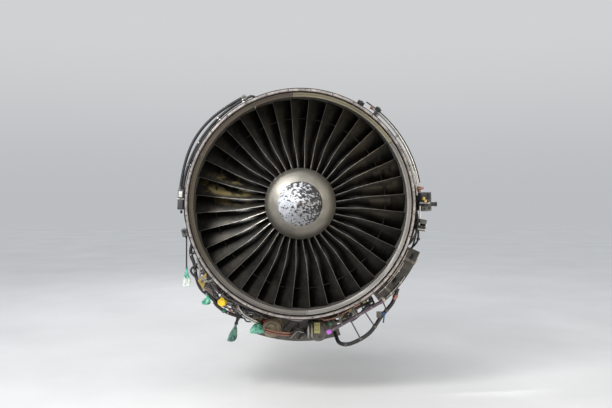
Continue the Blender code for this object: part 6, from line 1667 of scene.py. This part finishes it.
for index in range(9):
    clock = 143.5 + 2.4 * index
    size = RUNS.uniform(0.018, 0.030)
    box_into(shape, (size * 1.3, size, size * 1.3), placed(clock, BLOCK_FOOT + size * 0.65, RUNS.uniform(0.14, 0.26)),
             0.003)
from_shape("small_case_blocks", shape, DARK_PAINT, sharp=30.0)


# Fan frame, splitter and hub

STRUT_STEPS = 14


def strut_into(shape, clock, front, rear, thickness, foot, top):
    """A rounded strut along a radius, with a blunt nose and a thin tail."""
    turn = turned(clock, "Y")
    section = []
    for side in (1.0, -1.0):
        steps = range(STRUT_STEPS + 1) if side > 0 else range(STRUT_STEPS - 1, 0, -1)
        for step in steps:
            share = (1 - math.cos(math.pi * step / STRUT_STEPS)) / 2
            half = thickness / 2 * min(1.0, 2.6 * math.sqrt(share)) * (1.0 - max(0.0, share - 0.3) / 0.7) ** 0.7
            section.append((side * half, along(front, rear, share)))
    rings = []
    for level in range(7):
        height = along(foot, top, level / 6)
        rings.append([shape.verts.new(turn @ Vector((x, station, height))) for x, station in section])
    for below, above in zip(rings, rings[1:]):
        for index in range(len(section)):
            following = (index + 1) % len(section)
            shape.faces.new((below[index], below[following], above[following], above[index]))


shape = bmesh.new()
ring = rounded([(0.7003, 0.872), (1.0, 0.872), (1.0, 0.889), (0.7183, 0.889), (0.7183, 0.925), (0.7003, 0.925)], 0.002)
splitter = rounded([(0.7453, 0.44), (1.0, 0.352), (1.0, 0.465), (0.7453, 0.499)], 0.003)
hub = rounded([(0.76, 0.1165), (1.0, 0.1165), (1.0, 0.25), (0.76, 0.325)], 0.003)
lathe_into(shape, ring, 144)
lathe_into(shape, splitter, 108)
lathe_into(shape, hub, 72)
weld(shape)
for index in range(5):
    strut_into(shape, 180.0 + 72.0 * index, 0.785, 0.955, 0.044, 0.24, 0.874)
frame_piece = from_shape("fan_frame_casting", shape, CASE, sharp=40.0)
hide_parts("fan_frame")
bolts("fan_frame_rear_bolts", ring_of_bolts(1.0002, 0.447, 48, 1.0, 1.5), STEEL, size=0.006, height=0.006)

GUIDE = material("guide_vane_metal", (0.16, 0.158, 0.15), 0.42, 0.6, vary=0.12, scale=10.0)
piece = lathe("booster_lip_case", [(0.53, 0.476), (0.56, 0.455), (0.745, 0.455), (0.745, 0.499), (0.53, 0.482)],
              GUIDE, 120, edge=0.003)
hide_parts("booster_case")


# Compressor case with rows of vane levers, and the unison ring

def core_outside(station):
    """Outside of the compressor case at a station."""
    return (0.352 - 0.041 * (station - 1.0) / 0.6) / math.cos(math.pi / 20) + 0.013


rings = [(1.0003, 0.353), (1.60, 0.312), (1.60, 0.372), (1.582, 0.372), (1.582, core_outside(1.582))]
for station in (1.50, 1.42, 1.34):
    outside = core_outside(station)
    rings += [(station + half, outside + rise) for half, rise in (
        (0.006, 0.0), (0.006, 0.010), (-0.006, 0.010), (-0.006, 0.0))]
rings += [(1.0183, core_outside(1.0183)), (1.0183, 0.42), (1.0003, 0.42)]
piece = lathe("compressor_shell", rings, CASE, 120, edge=0.002)
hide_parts("compressor_case")
bolts("compressor_flange_bolts", [
    *ring_of_bolts(1.0184, 0.408, 48, 1.0, 3.0), *ring_of_bolts(1.5818, 0.361, 44, -1.0, 2.0)], STEEL,
    size=0.0052, height=0.006)
LUG_SPACE = 6.0                             # degrees beside the unison ring's lug without vane levers
shape = bmesh.new()
levers = bmesh.new()
for station, count, reach in ((1.075, 40, 0.052), (1.205, 44, -0.050), (1.275, 48, 0.044), (1.380, 50, 0.040)):
    outside = core_outside(station)
    for index in range(count):
        clock = 4.5 + 360.0 / count * index
        drum_into(shape, [(0.0, 0.0085), (0.010, 0.0075), (0.014, 0.0045), (0.020, 0.0045)],
                  placed(clock, outside - 0.001, station), 10)
        if abs(clock - 90.0) > LUG_SPACE:
            box_into(levers, (0.008, abs(reach), 0.0022), placed(clock, outside + 0.0185, station + reach / 2), 0.0008)
weld(shape)
from_shape("vane_lever_bosses", shape, CAST, sharp=40.0)
from_shape("vane_levers", levers, STEEL, sharp=30.0)
lathe("unison_ring_band", [
    (1.128, 0.3654), (1.152, 0.3654), (1.152, 0.3814), (1.146, 0.3814), (1.143, 0.3780), (1.137, 0.3780),
    (1.134, 0.3814), (1.128, 0.3814)], STEEL, 120, body="vane_ring")
shape = bmesh.new()
box_into(shape, (0.024, 0.037, 0.024), placed(90.0, 0.3854, 1.1465), 0.003)
lug = from_shape("unison_ring_lug", shape, STEEL, "vane_ring", sharp=30.0)
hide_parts("unison_ring")
ACTUATOR = Matrix.Translation((0.38533, 1.1743, 0.0))   # the rod slides along its Z, in a blind bore
piece = drums("vane_actuator_body", [
    ([(0.135, 0.0100), (0.04, 0.0100), (0.04, 0.018), (0.044, 0.022), (0.060, 0.022), (0.062, 0.020), (0.150, 0.020),
      (0.152, 0.022), (0.186, 0.022), (0.19, 0.017)], ACTUATOR)], CAST, steps=32)
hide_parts("vane_actuator")
box_piece("vane_actuator_foot", [((0.034, 0.030, 0.050), placed(72.5, 0.372, 1.1743)),
                                 ((0.060, 0.050, 0.008), placed(72.5, 0.362, 1.1743))], CAST)
piece = drums("vane_rod_body", [
    ([(-0.012, 0.009), (-0.010, 0.0105), (0.004, 0.0105), (0.006, 0.009), (0.112, 0.009)],
     ACTUATOR)], STEEL, body="vane_rod")
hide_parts("actuator_rod")


# Combustor case, fuel manifold and nozzles

piece = lathe("combustor_shell", [
    (1.6003, 0.3125), (1.6003, 0.372), (1.616, 0.372), (1.622, 0.366), (1.675, 0.420), (1.72, 0.4245), (1.86, 0.4245),
    (1.882, 0.4235), (1.882, 0.45), (1.90, 0.45), (1.90, 0.411), (1.69, 0.408), (1.63, 0.355)][::-1], HOT, 120,
    edge=0.003)
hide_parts("combustor_case")
bolts("combustor_flange_bolts", [
    *ring_of_bolts(1.8818, 0.438, 56, -1.0, 3.0), *ring_of_bolts(1.6163, 0.3625, 44, 1.0, 2.0)], STEEL,
    size=0.0052, height=0.006)


def tube_section(station, reach, radius, sides):
    """Outline of a tube that runs round the shaft line."""
    return [(station + radius * math.cos(angle), reach + radius * math.sin(angle))
            for angle in (math.tau * step / sides for step in range(sides))]


shape = bmesh.new()
lathe_into(shape, tube_section(1.77, 0.4335, 0.009, 12), 120)
manifold = from_shape("fuel_manifold_ring", shape, STEEL, sharp=60.0)
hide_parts("fuel_manifold")
shape = bmesh.new()
NOZZLE_CLOCKS = [9.0 + 18.0 * index for index in range(20)]
for clock in NOZZLE_CLOCKS:
    drum_into(shape, [(0.0, 0.019), (0.007, 0.019), (0.008, 0.012), (0.024, 0.0105), (0.026, 0.008)],
              placed(clock, 0.4205, 1.705), 14)
    pipe_into(shape, smooth_line([at_clock(clock, 0.442, 1.705), at_clock(clock, 0.453, 1.715),
                                  at_clock(clock + 1.2, 0.453, 1.745), at_clock(clock + 1.6, 0.438, 1.768)], 12),
              0.0042, 8)
from_shape("fuel_nozzles", shape, STEEL, sharp=45.0)
bolts("fuel_nozzle_bolts", [
    (at_clock(clock + side * 1.9, 0.4275, 1.705), outward(clock)) for clock in NOZZLE_CLOCKS for side in (-1.0, 1.0)],
    STEEL, size=0.003, height=0.003)


# Turbine case with cooling tubes, rear frame, plug and last turbine rows

piece = lathe("turbine_shell", [
    (1.9003, 0.3706), (1.99, 0.3706), (2.42, 0.567), (2.42, 0.600), (2.402, 0.600), (2.402, 0.581), (2.30, 0.5365),
    (2.10, 0.4440), (1.96, 0.4020), (1.918, 0.3986), (1.918, 0.45), (1.9003, 0.45)], HOT, 120, edge=0.003)
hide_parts("turbine_case")
bolts("turbine_flange_bolts", [
    *ring_of_bolts(1.9182, 0.438, 56, 1.0, 3.0), *ring_of_bolts(2.4018, 0.590, 60, -1.0, 1.5),
    *ring_of_bolts(2.4387, 0.590, 60, 1.0, 1.5)], STEEL, size=0.0055, height=0.0065)


def turbine_outside(station):
    """Outside of the turbine case at a station."""
    stops = ((1.96, 0.4020), (2.10, 0.4440), (2.30, 0.5365), (2.402, 0.581))
    for (a, low), (b, high) in zip(stops, stops[1:]):
        if station <= b:
            return along(low, high, (station - a) / (b - a))
    return stops[-1][1]


shape = bmesh.new()
for station in (2.02, 2.07, 2.12, 2.17, 2.22, 2.27, 2.32):
    reach = turbine_outside(station) + 0.011
    lathe_into(shape, tube_section(station, reach, 0.006, 10), 120)
for clock in (55.0, 125.0, 235.0, 305.0):
    pipe_into(shape, [at_clock(clock, turbine_outside(station) + 0.024, station)
                      for station in (2.00, 2.05, 2.10, 2.16, 2.22, 2.28, 2.335)], 0.014, 14)
weld(shape)
from_shape("turbine_cooling_tubes", shape, STEEL, sharp=50.0)

shape = bmesh.new()
lathe_into(shape, rounded([(2.4203, 0.567), (2.60, 0.567), (2.60, 0.581), (2.4383, 0.581), (2.4383, 0.600),
                           (2.4203, 0.600)], 0.002), 120)
lathe_into(shape, rounded([(2.44, 0.263), (2.49, 0.09), (2.524, 0.09), (2.60, 0.263), (2.60, 0.285), (2.44, 0.285)],
                          0.003), 96)
weld(shape)
for index in range(5):
    strut_into(shape, 72.0 * index, 2.46, 2.58, 0.026, 0.275, 0.575)
piece = from_shape("rear_frame_casting", shape, HOT, sharp=40.0)
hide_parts("turbine_rear_frame")
piece = lathe("exhaust_plug_cone", [
    (2.6003, 0.02), (2.6003, 0.285), (2.68, 0.245), (2.78, 0.180), (2.86, 0.125), (2.91, 0.090), (2.926, 0.075),
    (2.93, 0.055), (2.93, 0.004)][::-1], HOT, 96, closed=False, edge=0.004, sharp=50.0)
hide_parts("exhaust_plug")

TURBINE_BLADES = 60
BLADE_LEVELS = 6
shape = bmesh.new()
lathe_into(shape, rounded([(2.038, 0.315), (2.402, 0.315), (2.402, 0.335), (2.038, 0.335)], 0.003), 96)
lathe_into(shape, rounded([(2.285, 0.052), (2.315, 0.052), (2.315, 0.318), (2.285, 0.318)], 0.003), 72)
weld(shape)
for row, (front, rear) in enumerate(((2.055, 2.110), (2.190, 2.245), (2.320, 2.372))):
    top = along(0.366, 0.560, (front - 1.99) / 0.43) - 0.008
    for index in range(TURBINE_BLADES):
        clock = 360.0 / TURBINE_BLADES * (index + 0.3 * row)
        rings = []
        for level in range(BLADE_LEVELS):
            share = level / (BLADE_LEVELS - 1)
            radius = along(0.333, top, share)
            twist = math.radians(along(34.0, 46.0, share))
            chord = (rear - front) / math.cos(twist)
            ring = []
            for place, side in ((0.0, 0.0), (0.25, 1.0), (0.6, 0.9), (1.0, 0.0), (0.6, 0.2), (0.25, -0.1)):
                back = (place - 0.5) * chord
                rise = side * chord * 0.13
                aft = back * math.cos(twist) - rise * math.sin(twist)
                swing = back * math.sin(twist) + rise * math.cos(twist)
                ring.append(shape.verts.new(at_clock(
                    clock + math.degrees(swing / radius), radius, (front + rear) / 2 + aft)))
            rings.append(ring)
        for below, above in zip(rings, rings[1:]):
            for corner in range(6):
                following = (corner + 1) % 6
                shape.faces.new((below[corner], below[following], above[following], above[corner]))
        shape.faces.new(rings[-1])
piece = from_shape("turbine_blade_rows", shape, HOT, "lp_spool", sharp=40.0)
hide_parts("lp_turbine_rotor")


# Transfer gearbox under the fan frame, and the mounts' bolts

shape = bmesh.new()
box_into(shape, (0.144, 0.150, 0.200), Matrix.Translation((0.0, 0.87, -0.996)), 0.016, 4)
box_into(shape, (0.120, 0.120, 0.016), Matrix.Translation((0.0, 0.87, -0.8925)), 0.004, 2)
drum_into(shape, [(0.0, 0.058), (0.010, 0.058), (0.012, 0.046), (0.018, 0.046)],
          to_front((0.0, 0.802, -1.0425)), 32)
drum_into(shape, [(0.0, 0.048), (0.010, 0.048), (0.014, 0.036)],
          to_rear((0.0, 0.942, -1.0425)), 32)
drum_into(shape, [(0.0, 0.050), (0.008, 0.050), (0.010, 0.030)],
          Matrix.Translation((0.0, 0.87, -1.0885)) @ turned(180.0), 32)
piece = from_shape("transfer_gearbox_housing", shape, CAST, sharp=32.0)
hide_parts("transfer_gearbox")
bolts("transfer_gearbox_bolts", bolt_circle(Vector((0.0, 0.792, -ACCESSORY_REACH)), 0.052, 8, -1.0), STEEL,
      size=0.005, height=0.005)
bolts("mount_bolts", [
    (Vector((side * half_width, station, height)), (side, 0.0, 0.0))
    for half_width, height, stations in ((0.1302, 0.4385, (1.045, 1.092)), (0.1002, 0.625, (2.49, 2.53)))
    for side in (-1.0, 1.0) for station in stations], STEEL, size=0.010, height=0.009)


# Long runs along the core

pipes("core_tubes", [
    (smooth_line([
        at_clock(clock, 0.446, 1.003), at_clock(clock, 0.452, 1.03), at_clock(clock + 1.0, 0.440, 1.08),
        at_clock(clock + 2.0, 0.412 + lift * 0.5, 1.20), at_clock(clock + 3.0, 0.400 + lift * 0.5, 1.42),
        at_clock(clock + 2.0, 0.405 + lift * 0.4, 1.56), at_clock(clock + 1.0, 0.440 + lift * 0.3, 1.66),
        at_clock(clock, 0.450, 1.69), at_clock(clock, 0.424, 1.735)], 90), radius)
    for clock, radius, lift in (
        (28.0, 0.010, 0.020), (33.0, 0.006, 0.014), (152.0, 0.012, 0.022), (160.0, 0.007, 0.014),
        (208.0, 0.010, 0.020), (215.0, 0.006, 0.013), (322.0, 0.009, 0.018))], STEEL)


# Finish and softened edges of the CAD nodes that stay as they are

NODE_FINISHES = (
    (STEEL, ("aft_mount", "core_ball_bearing", "forward_mount", "front_ball_bearing", "front_roller_bearing",
             "horizontal_drive_shaft", "intershaft_bearing", "lp_shaft", "radial_drive_shaft", "rear_roller_bearing")),
    (BARE, ("booster_rotor", "compressor_rotor")),
    (HOT, ("combustor_liner", "core_turbine_rotor")),
    (CAST, ("front_bearing_support",)),
    (CASE, ("outlet_guide_vanes",)),
)
for finish, names in NODE_FINISHES:
    for name in names:
        node = bpy.data.objects[name]
        node.data.materials.clear()
        node.data.materials.append(finish)
        soft = node.modifiers.new("soft_edges", "BEVEL")
        soft.width = 0.002
        soft.segments = 2
        soft.limit_method = "ANGLE"
        soft.angle_limit = math.radians(35.0)

bpy.context.scene.view_settings.view_transform = "Standard"
